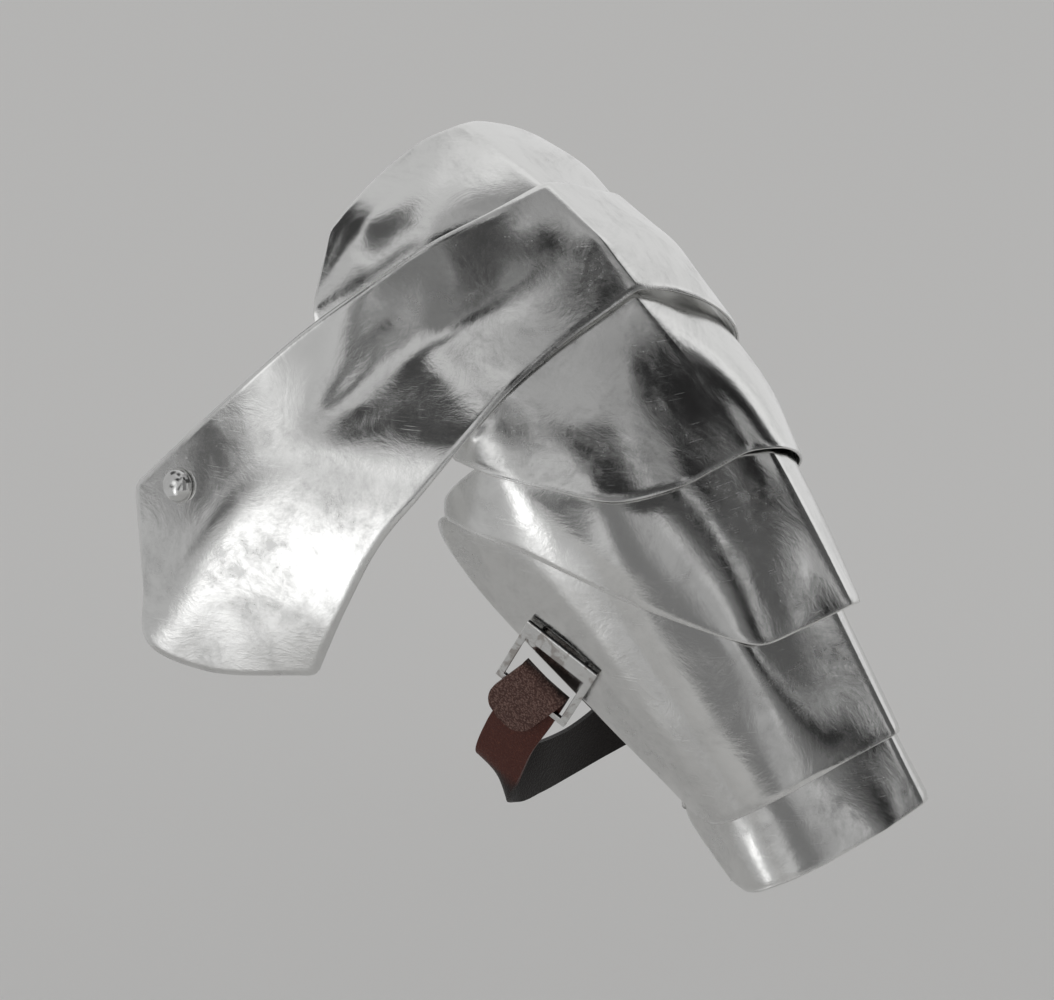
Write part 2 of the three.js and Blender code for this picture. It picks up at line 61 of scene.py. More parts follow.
def make_camera():
    azimuth, elevation = math.radians(CAMERA_AZIMUTH), math.radians(CAMERA_ELEVATION)
    back = Vector((
        math.sin(azimuth) * math.cos(elevation),
        -math.cos(azimuth) * math.cos(elevation),
        math.sin(elevation)))
    data = bpy.data.cameras.new("camera")
    data.sensor_width = SENSOR
    data.lens = SENSOR * FOCAL_PIXELS / IMAGE_WIDTH
    camera = bpy.data.objects.new("camera", data)
    bpy.context.collection.objects.link(camera)
    camera.rotation_mode = "QUATERNION"
    camera.location = CAMERA_TARGET + back * CAMERA_DISTANCE
    camera.rotation_quaternion = (-back).to_track_quat("-Z", "Y")
    bpy.context.scene.camera = camera
    return camera


camera = make_camera()
print("camera at", [round(v, 3) for v in camera.location], "lens", round(camera.data.lens, 1))

# %% [markdown]
# Polished steel shows its surroundings more than itself, so the studio is part of the finish. A pale floor
# and a pale room give the light greys. The tone curve is the plain one, which keeps bright lamps bright.

# %% Floor and room
FLOOR_LEVEL = -1.8
FLOOR_COLOUR = (0.76, 0.755, 0.745)
ROOM_REACH = 40
ROOM_GREY = 0.6


def plain_material(name, colour, roughness):
    material = bpy.data.materials.new(name)
    material.use_nodes = True
    shader = material.node_tree.nodes["Principled BSDF"]
    shader.inputs["Base Color"].default_value = (*colour, 1)
    shader.inputs["Roughness"].default_value = roughness
    shader.inputs["Specular IOR Level"].default_value = 0
    return material


def stage_mesh(name, points, faces, material):
    mesh = bpy.data.meshes.new(name)
    mesh.from_pydata(points, [], faces)
    mesh.materials.append(material)
    card = bpy.data.objects.new(name, mesh)
    bpy.context.collection.objects.link(card)
    return card


def make_room():
    square = ((-1, -1), (1, -1), (1, 1), (-1, 1))
    corners = [(x * ROOM_REACH, y * ROOM_REACH, FLOOR_LEVEL) for x, y in square]
    floor = stage_mesh("floor", corners, [(0, 1, 2, 3)], plain_material("floor", FLOOR_COLOUR, 1))
    world = bpy.data.worlds.new("room")
    bpy.context.scene.world = world
    world.use_nodes = True
    back = world.node_tree.nodes["Background"]
    back.inputs["Color"].default_value = (ROOM_GREY, ROOM_GREY, ROOM_GREY, 1)
    bpy.context.scene.view_settings.view_transform = "Standard"
    return floor


print("floor at", make_room().data.vertices[0].co.z)

# %% [markdown]
# The reflections in metal are shaped with soft boxes and dark flags. Each panel here is a patch of a sphere
# round the guard, given by two azimuths, two elevations and a brightness. Azimuth 0 is the front and 90 the
# outer side. A lean shifts the upper edge sideways, and a feather fades a lamp out into a soft oval. The
# camera doesn't see the panels, so they never stand in the way of another view.

# %% Soft boxes and flags
PANEL_STEPS = 16
panels = {  # azimuth from and to, elevation from and to, lean, distance, brightness, feather
    "left flag": (-105, -75, 30, 55, 5, 2.6, 0.05, 0),
    "far left panel": (-125, -105, 20, 80, 0, 2.65, 0.6, 0),
    "left panel": (-105, 0, -45, 50, 0, 2.7, 0.5, 0),
    "left dark strip": (-45, -25, -5, 5, 0, 2.6, 0.12, 0),
    "front soft box": (-45, -10, 5, 30, 5, 2.6, 1, 0.5),
    "front flag": (-30, 0, 33, 48, 10, 2.5, 0.06, 0),
    "leaning flag": (-5, 10, 42, 65, 20, 2.5, 0.06, 0),
    "front panel": (0, 60, -15, 65, 0, 2.7, 0.55, 0),
    "crease flag": (-5, 5, -12, 25, 25, 2.5, 0.08, 0),
    "top flag": (-80, -10, 60, 80, 0, 2.7, 0.1, 0),
    "high panel": (35, 125, 60, 85, 0, 2.7, 0.4, 0),
    "high flag": (40, 75, 48, 66, 0, 2.5, 0.03, 0),
    "right shade": (30, 58, -15, 46, 0, 2.6, 0.2, 0),
    "right strip": (58, 76, -15, 40, 0, 2.6, 0.4, 0),
    "right edge shade": (80, 98, -10, 40, 5, 2.6, 0.18, 0),
    "side flag": (60, 95, 25, 50, 0, 2.5, 0.06, 0),
    "ridge flag": (95, 112, -15, 42, 0, 2.6, 0.02, 0),
    "ridge shade": (115, 145, -10, 40, 5, 2.6, 0.1, 0),
    "ridge high flag": (112, 135, 47, 63, 0, 2.6, 0.02, 0),
    "ridge panel": (85, 138, 40, 80, 0, 2.7, 0.3, 0),
    "upper ridge flag": (118, 138, 24, 57, 0, 2.5, 0.02, 0),
    "ridge strip": (145, 165, 5, 80, 5, 2.6, 0.85, 0),
    "back panel": (155, 245, -10, 82, 0, 2.7, 0.74, 0),
    "low lamp": (-30, -12, -45, 5, 5, 2.4, 2.2, 1),
    "lamp tail": (-22, -8, -30, 28, 5, 2.45, 1.2, 1),
}


def on_sphere(azimuth, elevation, distance):
    a, e = math.radians(azimuth), math.radians(elevation)
    direction = Vector((math.sin(a) * math.cos(e), -math.cos(a) * math.cos(e), math.sin(e)))
    return CAMERA_TARGET + direction * distance


def glow(name, brightness, feather):
    material = plain_material(name, (0, 0, 0), 1)
    shader = material.node_tree.nodes["Principled BSDF"]
    shader.inputs["Emission Color"].default_value = (1, 1, 1, 1)
    shader.inputs["Emission Strength"].default_value = brightness
    if feather:
        centre = material.node_tree.nodes.new("ShaderNodeAttribute")
        centre.attribute_name = "centre"
        fade = material.node_tree.nodes.new("ShaderNodeMapRange")
        fade.interpolation_type = "SMOOTHSTEP"
        fade.inputs["From Max"].default_value = feather
        material.node_tree.links.new(centre.outputs["Fac"], fade.inputs["Value"])
        material.node_tree.links.new(fade.outputs["Result"], shader.inputs["Alpha"])
    return material


def make_panel(name, west, east, low, high, lean, distance, brightness, feather):
    row = PANEL_STEPS + 1
    shares = np.linspace(0, 1, row)
    grid = [(u, v) for v in shares for u in shares]
    points = []
    for u, v in grid:
        points.append(on_sphere(west + (east - west) * u + lean * v, low + (high - low) * v, distance))
    firsts = [i * row + j for i in range(PANEL_STEPS) for j in range(PANEL_STEPS)]
    faces = [(k, k + 1, k + 1 + row, k + row) for k in firsts]
    panel = stage_mesh(name.replace(" ", "_"), points, faces, glow(name, brightness, feather))
    centre = panel.data.attributes.new("centre", "FLOAT", "POINT")
    centre.data.foreach_set("value", [max(0, 1 - math.hypot(2 * u - 1, 2 * v - 1)) for u, v in grid])
    panel.visible_camera = False
    return panel


for name, row in panels.items():
    make_panel(name, *row)
print("panels:", len(panels))

# %% [markdown]
# Shader trees and geometry trees are both built from small helpers. One adds a node and links or sets its
# inputs, and the others add a sum, a noise or a soft step.

# %% Node helpers
def tree_tools(tree):
    def add(kind, values=None, **settings):
        node = tree.nodes.new(kind)
        for key, value in settings.items():
            setattr(node, key, value)
        for key, value in (values or {}).items():
            if isinstance(value, bpy.types.NodeSocket):
                tree.links.new(value, node.inputs[key])
            else:
                node.inputs[key].default_value = value
        return node

    def maths(operation, *values):
        return add("ShaderNodeMath", dict(enumerate(values)), operation=operation).outputs[0]

    def vector(operation, *values):
        return add("ShaderNodeVectorMath", dict(enumerate(values)), operation=operation).outputs[0]

    return add, maths, vector


def shader_tools(tree):
    add, maths, _ = tree_tools(tree)

    def noise(place, scale, detail=2, roughness=0.5, distortion=0):
        values = {"Vector": place, "Scale": scale, "Detail": detail, "Roughness": roughness}
        return add("ShaderNodeTexNoise", {**values, "Distortion": distortion}).outputs["Fac"]

    def step(value, low, high, start=0, end=1):
        values = {"Value": value, "From Min": low, "From Max": high, "To Min": start, "To Max": end}
        return add("ShaderNodeMapRange", values, interpolation_type="SMOOTHSTEP").outputs[0]

    def blend(share, first, second):
        node = add("ShaderNodeMix", data_type="RGBA")
        for key, value in ((0, share), (6, first), (7, second)):
            if isinstance(value, bpy.types.NodeSocket):
                tree.links.new(value, node.inputs[key])
            else:
                node.inputs[key].default_value = value
        return node.outputs[2]

    def bump(height, distance, strength=1, normal=None):
        values = {"Height": height, "Distance": distance, "Strength": strength}
        if normal:
            values["Normal"] = normal
        return add("ShaderNodeBump", values).outputs["Normal"]

    return add, maths, noise, step, blend, bump


def new_group(name, inputs, outputs):
    group = bpy.data.node_groups.new(name, "ShaderNodeTree")
    for socket_name, kind, value in inputs:
        socket = group.interface.new_socket(socket_name, in_out="INPUT", socket_type="NodeSocket" + kind)
        socket.default_value = value
    for socket_name, kind in outputs:
        group.interface.new_socket(socket_name, in_out="OUTPUT", socket_type="NodeSocket" + kind)
    return group


print("shader helpers:", [helper.__name__ for helper in (shader_tools, new_group)])

# %% [markdown]
# Old armour steel is bright but not even. Handling leaves ragged cloudy patches that blur the reflections,
# grit leaves fine scratches and specks, and the hammer leaves very shallow dents. The group puts out colour,
# roughness and normal, so that the plates and the fittings can use it with their own values.

# %% Worn steel
CLEAN_STEEL = (0.8, 0.8, 0.79, 1)
DULL_STEEL = (0.46, 0.46, 0.455, 1)
STAINED_STEEL = (0.3, 0.25, 0.22, 1)
BARE_STEEL = (0.93, 0.93, 0.92, 1)
SHADED_STEEL = (0.03, 0.03, 0.03, 1)
FAR_FROM_RIM = 50
RIM_WEAR = (0.4, 2.6)
SCRATCH_TURNS = ((0.4, 0.9, 0.2), (1.5, 0.3, 1.1), (2.4, 1.2, 0.5))
SCRATCH_STRETCH = (40, 40, 3600)
SCRATCH_EDGE = (0.67, 0.77)
SCRATCH_PATCH = 24
SCRATCH_PATCH_STEP = 9
SCRATCH_PATCH_EDGE = (0.52, 0.66)
SMUDGE_DEPTH = 0.00024
GRAIN_DEPTH = 0.00003
steel_masks = {  # noise scale, detail, roughness and distortion, and the two ends of the soft step
    "cloud": (16, 10, 0.7, 0.8, 0.4, 0.62),
    "fine cloud": (130, 7, 0.75, 0.4, 0.38, 0.66),
    "speck": (620, 1, 0.5, 0, 0.72, 0.8),
    "speck patch": (21, 4, 0.5, 0, 0.52, 0.64),
    "stain": (95, 3, 0.5, 1.6, 0.47, 0.6),
}
steel_reliefs = {  # noise scale, detail, roughness and distortion
    "dents": (15, 1, 0.4, 0),
    "smudges": (46, 9, 0.7, 0.6),
    "grain": (190, 5, 0.6, 0),
}


def worn_steel_group():
    inputs = (("Shine", "Float", 0.15), ("Clouds", "Float", 0.2), ("Dents", "Float", 0.001),
              ("Rim", "Float", FAR_FROM_RIM), ("Stain", "Float", 0))
    outputs = (("Color", "Color"), ("Roughness", "Float"), ("Normal", "Vector"))
    group = new_group("worn steel", inputs, outputs)
    add, maths, noise, step, blend, bump = shader_tools(group)
    given = add("NodeGroupInput").outputs
    place = add("ShaderNodeTexCoord").outputs["Object"]

    def mask(name):
        *kind, low, high = steel_masks[name]
        return step(noise(place, *kind), low, high)

    def scratches(turn):
        values = {"Vector": place, "Rotation": turn, "Scale": SCRATCH_STRETCH}
        mapped = add("ShaderNodeMapping", values).outputs[0]
        patch = noise(place, SCRATCH_PATCH + SCRATCH_PATCH_STEP * turn[0], 3)
        return maths("MULTIPLY", step(noise(mapped, 1, 1), *SCRATCH_EDGE), step(patch, *SCRATCH_PATCH_EDGE))

    cloud = maths("MULTIPLY", mask("cloud"), maths("ADD", 0.45, maths("MULTIPLY", mask("fine cloud"), 0.55)))
    marks = maths("MULTIPLY", mask("speck"), mask("speck patch"))
    for turn in SCRATCH_TURNS:
        marks = maths("MAXIMUM", marks, scratches(turn))
    worn_rim = step(given["Rim"], *RIM_WEAR, 1, 0)
    colour = blend(maths("MULTIPLY", cloud, 0.45), CLEAN_STEEL, DULL_STEEL)
    colour = blend(maths("MULTIPLY", mask("stain"), given["Stain"]), colour, STAINED_STEEL)
    bare = maths("MAXIMUM", maths("MULTIPLY", marks, 0.5), maths("MULTIPLY", worn_rim, 0.35))
    rough = maths("ADD", given["Shine"], maths("MULTIPLY", cloud, given["Clouds"]))
    rough = maths("ADD", rough, maths("MULTIPLY", maths("MAXIMUM", marks, worn_rim), 0.12))
    dents = bump(noise(place, *steel_reliefs["dents"]), given["Dents"])
    smudges = bump(noise(place, *steel_reliefs["smudges"]), SMUDGE_DEPTH, 1, dents)
    scored = maths("ADD", noise(place, *steel_reliefs["grain"]), maths("MULTIPLY", marks, -0.5))
    grain = bump(scored, GRAIN_DEPTH, 0.6, smudges)
    add("NodeGroupOutput", {"Color": blend(bare, colour, BARE_STEEL), "Roughness": rough, "Normal": grain})
    return group


worn_steel = worn_steel_group()


def steel_material(name, shine, clouds, dents, stain=0, rim=False):
    material = bpy.data.materials.new(name)
    material.use_nodes = True
    tree = material.node_tree
    shader = tree.nodes["Principled BSDF"]
    shader.inputs["Metallic"].default_value = 1
    add, *_ = tree_tools(tree)
    group = add("ShaderNodeGroup", node_tree=worn_steel)
    for key, value in (("Shine", shine), ("Clouds", clouds), ("Dents", dents), ("Stain", stain)):
        group.inputs[key].default_value = value
    if rim:
        tree.links.new(add("ShaderNodeAttribute", attribute_name="rim").outputs["Fac"], group.inputs["Rim"])
    for output, key in (("Color", "Base Color"), ("Roughness", "Roughness"), ("Normal", "Normal")):
        tree.links.new(group.outputs[output], shader.inputs[key])
    return material


# Painted shade: the base colour is blended to near black on the sides whose normals point along the given
# direction, standing in for the shade that they mirror.
def paint_shade_on_side(material, direction):
    tree = material.node_tree
    add, _, _, step, blend, _ = shader_tools(tree)
    base = tree.nodes["Principled BSDF"].inputs["Base Color"]
    normal = add("ShaderNodeTexCoord").outputs["Normal"]
    dot = add("ShaderNodeVectorMath", {0: normal, 1: tuple(direction)}, operation="DOT_PRODUCT")
    towards = step(dot.outputs["Value"], 0.7, 0.95)
    tree.links.new(blend(towards, base.links[0].from_socket, SHADED_STEEL), base)


plate_steel = steel_material("plate steel", 0.08, 0.24, 0.0013, rim=True)
stud_steel = steel_material("polished stud steel", 0.05, 0.05, 0)
buckle_steel = steel_material("buckle steel", 0.12, 0.16, 0.0009, stain=0.55)
print("steels:", [m.name for m in (plate_steel, stud_steel, buckle_steel)])

# %% [markdown]
# Strap leather changes along its length. The tongue is scuffed pale and pebbled, the bend over the bar is
# painted near black as the shade where the strap folds under the bar, the outer run is a deep smooth brown and
# the inside is painted nearly black as the shade inside the guard. The distance along the strap is an
# attribute of its points, so the colours stay at their places however the strap bends.

# %% Strap leather
TONGUE_END = 41
BEND_END = 48
OUTER_END = 112
RAGGED_SCALE = 160
RAGGED_REACH = 9
PEBBLES = 1050
PEBBLE_DEPTH = 0.00034
FIBRES = 900
GROOVE_COLOUR = (0.075, 0.032, 0.025, 1)
CREST_COLOUR = (0.23, 0.135, 0.11, 1)
BEND_PAINTED_SHADE = (0.02, 0.011, 0.009, 1)
OUTER_COLOUR = (0.075, 0.015, 0.008, 1)
FIBRE_COLOUR = (0.19, 0.065, 0.04, 1)
INSIDE_PAINTED_SHADE = (0.01, 0.007, 0.006, 1)


def leather_material():
    material = bpy.data.materials.new("strap leather")
    material.use_nodes = True
    tree = material.node_tree
    shader = tree.nodes["Principled BSDF"]
    add, maths, noise, step, blend, bump = shader_tools(tree)
    place = add("ShaderNodeTexCoord").outputs["Object"]
    gone = add("ShaderNodeAttribute", attribute_name="gone").outputs["Fac"]
    uneven = maths("SUBTRACT", noise(place, RAGGED_SCALE, 4), 0.5)
    ragged = maths("ADD", gone, maths("MULTIPLY", uneven, RAGGED_REACH))
    pebbles = add("ShaderNodeTexVoronoi", {"Vector": place, "Scale": PEBBLES}, feature="SMOOTH_F1")
    crest = step(pebbles.outputs["Distance"], 0.12, 0.6, 1, 0)
    fibres = step(noise(place, FIBRES, 3, 0.7), 0.5, 0.72)
    outer = blend(maths("MULTIPLY", fibres, 0.5), OUTER_COLOUR, FIBRE_COLOUR)
    colour = blend(crest, GROOVE_COLOUR, CREST_COLOUR)
    # Painted shade: the bend, where the strap folds under the bar, is made near black.
    colour = blend(step(ragged, TONGUE_END - 5, TONGUE_END + 2), colour, BEND_PAINTED_SHADE)
    colour = blend(step(ragged, BEND_END, BEND_END + 10), colour, outer)
    # Painted shade: the inside run is made nearly black, standing in for the shade inside the guard.
    colour = blend(step(ragged, OUTER_END - 4, OUTER_END + 4), colour, INSIDE_PAINTED_SHADE)
    soft = step(gone, TONGUE_END, OUTER_END, 0.6, 0.46)
    depth = step(gone, TONGUE_END, BEND_END + 20, 1, 0.45)
    shader.inputs["Specular IOR Level"].default_value = 0.3
    tree.links.new(colour, shader.inputs["Base Color"])
    tree.links.new(maths("ADD", soft, maths("MULTIPLY", fibres, 0.08)), shader.inputs["Roughness"])
    tree.links.new(bump(maths("MULTIPLY", crest, depth), PEBBLE_DEPTH), shader.inputs["Normal"])
    return material


strap_leather = leather_material()
print("leather:", strap_leather.name)

# %% [markdown]
# Every plate here is bent sheet. A plate's face is given by a few columns of stations that run from the front
# of the body to its back, joined by smooth lines that keep a corner at the ridge. The same named sizes that
# shape the frame's solids are used, in mm, so the finished plates lie exactly where the solids do.

# %% Sizes
SHEET = 1.4
LEATHER = 2.6
SEAT = 0.3
REACH = 200
DEPTH = 100
DROP = 200
ARM_TILT = 31.8
ARM_WIDTH = 100
ARM_LENGTH = 200
CUFF_OUT = 177
CUFF_DOWN = 273

tilt = math.radians(ARM_TILT)
outward = np.array([math.cos(tilt), 0, math.sin(tilt)])
along = np.array([math.sin(tilt), 0, -math.cos(tilt)])
cuff = np.array([CUFF_OUT, 0, -CUFF_DOWN])


def body(share):
    return np.array(share) * [REACH, DEPTH, DROP]


def limb(share):
    width, depth, length = share
    return cuff + outward * width * ARM_WIDTH + along * length * ARM_LENGTH + [0, depth * DEPTH, 0]


print("arm leans", ARM_TILT, "degrees outward")

# %% [markdown]
# A smooth line passes through all its stations. The centripetal Catmull-Rom form doesn't overshoot where
# stations lie close together, so a hem keeps the shape that it was given.

# %% Smooth lines
def spline(points, t):
    # points is stations x samples x 3, or stations x 1 x 3 where all samples share one line
    last = len(points) - 1
    t = np.clip(t, 0, last)
    i = np.minimum(t.astype(int), last - 1)
    w = (t - i)[:, None]
    m = np.arange(len(t)) if points.shape[1] > 1 else np.zeros(len(t), int)
    p1, p2 = points[i, m], points[i + 1, m]
    p0 = np.where((i > 0)[:, None], points[np.maximum(i - 1, 0), m], 2 * p1 - p2)
    p3 = np.where((i < last - 1)[:, None], points[np.minimum(i + 2, last), m], 2 * p2 - p1)
    legs = ((p0, p1), (p1, p2), (p2, p3))
    d0, d1, d2 = (np.sqrt(np.linalg.norm(b - a, axis=1, keepdims=True)) for a, b in legs)
    start = d1 * ((p1 - p0) / d0 - (p2 - p0) / (d0 + d1) + (p2 - p1) / d1)
    end = d1 * ((p2 - p1) / d1 - (p3 - p1) / (d1 + d2) + (p3 - p2) / d2)
    return p1 + start * w + (3 * (p2 - p1) - 2 * start - end) * w**2 + (2 * (p1 - p2) + start + end) * w**3


def cornered(points, corner, t):
    out = np.zeros((len(t), 3))
    for first, last in ((0, corner), (corner, len(points) - 1)):
        inside = (t > first) & (t <= last) if first else t <= last
        if inside.any():
            out[inside] = spline(points[first:last + 1, None], t[inside] - first)
    return out


def unit(vectors):
    return vectors / np.linalg.norm(vectors, axis=-1, keepdims=True)


class Face:
    """One plate's outer face: u runs round it from front to back, v from its head down to its hem."""

    STEP = 0.02

    def __init__(self, columns, ridge):
        self.columns = [np.array(column) for column in columns]
        self.ridge = ridge
        self.rounds = len(columns[0]) - 1

    def at(self, u, v):
        u, v = (np.array(a, float).ravel() for a in np.broadcast_arrays(u, v))
        net = np.stack([cornered(column, self.ridge, u) for column in self.columns])
        return spline(net, np.clip(v, 0, 1) * (len(self.columns) - 1))

    def tangents(self, u, v):
        u, v = (np.array(a, float).ravel() for a in np.broadcast_arrays(u, v))
        ahead, behind = np.minimum(u + self.STEP, self.rounds), np.maximum(u - self.STEP, 0)
        below, above = np.minimum(v + self.STEP, 1), np.maximum(v - self.STEP, 0)
        return unit(self.at(ahead, v) - self.at(behind, v)), unit(self.at(u, below) - self.at(u, above))

    def normal(self, u, v):
        around, down = self.tangents(u, v)
        return unit(np.cross(down, around))

    def under(self, u, v, gap):
        return (self.at(u, v) - self.normal(u, v) * (SHEET + gap))[0]


arch = np.array([[[0, 0, 0]], [[1, 1, 0]], [[2, 0, 0]]], float)
print("a smooth line through an arch of 3 stations, at half a step:", spline(arch, np.array([0.5])))

# %% [markdown]
# The shoulder plate is a saddle. Each station has a point on its upper edge, one on the long fold that runs
# from the chest tip to the ridge, and one on its lower edge, as shares of the guard's reach, depth and drop.

# %% Shoulder plate
FOLD_SHARPNESS = 0.62
TIP_SWELL = 11
SHOULDER_RIDGE = 7
shoulder_rows = [  # upper edge, fold, lower edge
    ((-0.952, -1.24, -0.63), (-0.893, -1.34, -1.02), (-0.45, -1.14, -1.06)),
    ((-0.76, -1.2, -0.445), (-0.741, -1.32, -0.788), (-0.347, -1.18, -0.86)),
    ((-0.604, -1.12, -0.296), (-0.606, -1.26, -0.6), (-0.252, -1.16, -0.682)),
    ((-0.496, -1.0, -0.19), (-0.476, -1.16, -0.47), (-0.156, -1.09, -0.55)),
    ((-0.372, -0.84, -0.086), (-0.374, -1.01, -0.369), (-0.081, -0.97, -0.432)),
    ((-0.274, -0.61, 0.001), (-0.226, -0.77, -0.222), (-0.016, -0.77, -0.32)),
    ((-0.19, -0.33, 0.06), (-0.104, -0.43, -0.125), (0.05, -0.43, -0.219)),
    ((-0.133, 0, 0.114), (0.031, -0.03, -0.001), (0.146, -0.04, -0.117)),
    ((-0.131, 0.24, 0.089), (0.045, 0.22, -0.033), (0.164, 0.18, -0.139)),
    ((-0.135, 0.6, 0.034), (0.035, 0.54, -0.052), (0.205, 0.5, -0.203)),
    ((-0.15, 0.8, 0), (0.035, 0.78, -0.115), (0.2, 0.82, -0.315)),
    ((-0.23, 0.98, -0.13), (-0.07, 1.02, -0.3), (0.12, 1.04, -0.48)),
    ((-0.37, 1.08, -0.36), (-0.21, 1.14, -0.53), (0.03, 1.1, -0.64)),
]


def shoulder_face():
    upper, fold, lower = (np.array([body(row[k]) for row in shoulder_rows]) for k in range(3))
    above = upper + (fold - upper) * FOLD_SHARPNESS
    below = lower + (fold - lower) * FOLD_SHARPNESS
    below[0] += unit(below[0] - below[1]) * TIP_SWELL
    return Face([upper, above, fold, below, lower], SHOULDER_RIDGE)


shoulder = shoulder_face()
ridge_ends = [shoulder.at(SHOULDER_RIDGE, v)[0].round(1) for v in (0, 1)]
print("shoulder ridge runs from", ridge_ends[0], "to", ridge_ends[1])

# %% [markdown]
# The neck plate comes out from under the shoulder plate, so its lower edge is read off the shoulder plate's
# underside and only its inner edge is given. A belly bows the sheet between the two.

# %% Neck plate
LAP = 0.17
NECK_RIDGE = 4
NECK_CORNER = (-0.504, -0.94, -0.15)
neck_rows = [  # inner edge, belly in mm, station of the shoulder plate, gap in mm
    ((-0.547, -0.669, 0.003), 4, 3.05, 1.2),
    ((-0.523, -0.53, 0.068), 5, 4, 0.7),
    ((-0.49, -0.31, 0.14), 5, 5, 0.8),
    ((-0.435, -0.15, 0.199), 3, 6, 1.1),
    ((-0.37, 0, 0.233), 1, 7, 1.1),
    ((-0.38, 0.2, 0.222), 2, 8, 1.1),
    ((-0.36, 0.6, 0.164), 3, 9, 0.9),
    ((-0.34, 0.84, 0.09), 3, 10, 0.8),
    ((-0.34, 1.0, -0.05), 3, 11, 0.8),
]


def bulged(edge, seam, i, belly, share=0.5):
    around = edge[min(i + 1, len(edge) - 1)] - edge[max(i - 1, 0)]
    outside = unit(np.cross(seam[i] - edge[i], around))
    return edge[i] + (seam[i] - edge[i]) * share + outside * belly


def neck_face():
    inner = [body(row[0]) for row in neck_rows]
    laps = (0, LAP / 2, LAP)
    seam, lap, under = ([shoulder.under(at, v, gap) for _, _, at, gap in neck_rows] for v in laps)
    middle = [bulged(inner, seam, i, row[1]) for i, row in enumerate(neck_rows)]
    middle[0] = body(NECK_CORNER)
    return Face([inner, middle, seam, lap, under], NECK_RIDGE)


neck = neck_face()
print("neck plate's inner edge at the ridge:", neck.at(NECK_RIDGE, 0)[0].round(1))

# %% [markdown]
# A lame's head is hidden under the plate above, so its head and seam are read off that plate's underside.
# Only the hem is given, in the frame of the body for the first lame and in that of the arm for the rest. The
# rows say where each station sits on the plate above, the gap under it, the hem and how far the sheet bows.

# %% Upper lame
HEAD_LAP = 0.84
UPPER_RIDGE = 7


def lame(above, rows, ridge, place):
    def under(row, v):
        return above.under(row.get("start", row.get("at")), v, row["gap"])

    def seam_point(row):
        return place(row["seam"]) if "seam" in row else above.under(row["at"], row.get("edge", 1), row["gap"])

    head = [place(row["head"]) if "head" in row else under(row, HEAD_LAP) for row in rows]
    seam = [seam_point(row) for row in rows]
    hem = [place(row["hem"]) for row in rows]
    middle = [place(row["middle"]) if "middle" in row else
              bulged(hem, seam, i, -row.get("belly", 0), row.get("share", 0.5)) for i, row in enumerate(rows)]
    return Face([head, seam, middle, hem], ridge)


upper_rows = [
    dict(start=4.75, at=4.3, edge=0.97, gap=1.3, hem=(-0.14, -0.88, -0.485)),
    dict(start=4.85, at=4.5, gap=1.2, hem=(-0.058, -0.91, -0.491)),
    dict(start=5.0, at=4.8, gap=1.1, hem=(0.014, -0.92, -0.498), belly=1),
    dict(start=5.3, at=5.15, gap=1.5, hem=(0.126, -0.88, -0.516), belly=2),
    dict(at=5.75, gap=2.5, hem=(0.28, -0.75, -0.54), belly=3),
    dict(at=6.3, gap=3.5, hem=(0.38, -0.48, -0.523), belly=4),
    dict(at=6.7, gap=4.5, hem=(0.408, -0.22, -0.51), belly=3),
    dict(at=7, gap=5, hem=(0.423, 0.06, -0.5), belly=3),
    dict(at=8, gap=5, hem=(0.465, 0.26, -0.507), belly=4),
    dict(at=9.4, gap=4, hem=(0.44, 0.6, -0.58), belly=4),
    dict(at=10.3, gap=2, hem=(0.36, 0.84, -0.66), belly=5),
    dict(at=11.2, gap=0.8, hem=(0.19, 0.98, -0.73), belly=3),
]
upper = lame(shoulder, upper_rows, UPPER_RIDGE, body)
print("hem of the upper lame at the ridge:", upper.at(UPPER_RIDGE, 1)[0].round(1))

# %% [markdown]
# The middle lame turns from the shoulder into the arm. Its front station also gives the point half way down,
# because that corner stands out on its own.

# %% Middle lame
MIDDLE_RIDGE = 9
middle_rows = [
    dict(start=1.8, at=1.0, gap=0.6, middle=(-0.975, -0.835, -1.212), hem=(-1.045, -0.83, -1.166)),
    dict(start=2.2, at=1.7, gap=0.8, hem=(-0.887, -0.87, -1.099)),
    dict(start=2.6, at=2.4, gap=1.1, hem=(-0.712, -0.87, -1.018), belly=1),
    dict(at=3.2, gap=1.8, hem=(-0.543, -0.83, -0.914), belly=2),
    dict(at=4.0, gap=2.5, hem=(-0.371, -0.76, -0.8), belly=3),
    dict(at=4.8, gap=3, hem=(-0.215, -0.62, -0.683), belly=3),
    dict(at=5.6, gap=3, hem=(-0.086, -0.47, -0.59), belly=3),
    dict(at=6.2, gap=3, hem=(-0.036, -0.36, -0.552), belly=3),
    dict(at=7.1, gap=3, hem=(0.03, -0.1, -0.535), belly=3),
    dict(at=7.9, gap=3, hem=(0.161, 0.24, -0.526), belly=1),
    dict(at=8.5, gap=3, hem=(0.1, 0.42, -0.52), belly=1),
    dict(at=9.4, gap=2.5, hem=(-0.075, 0.64, -0.55), belly=2),
    dict(at=10.2, gap=1.5, hem=(-0.36, 0.84, -0.68), belly=3),
    dict(at=11, gap=0.6, hem=(-0.75, 0.92, -0.92), belly=1),
]
middle = lame(upper, middle_rows, MIDDLE_RIDGE, limb)
print("hem of the middle lame at the ridge:", middle.at(MIDDLE_RIDGE, 1)[0].round(1))

# %% [markdown]
# The lower lame is the longest, and its long front edge carries the buckle. A share moves the point half way
# down nearer to the head.

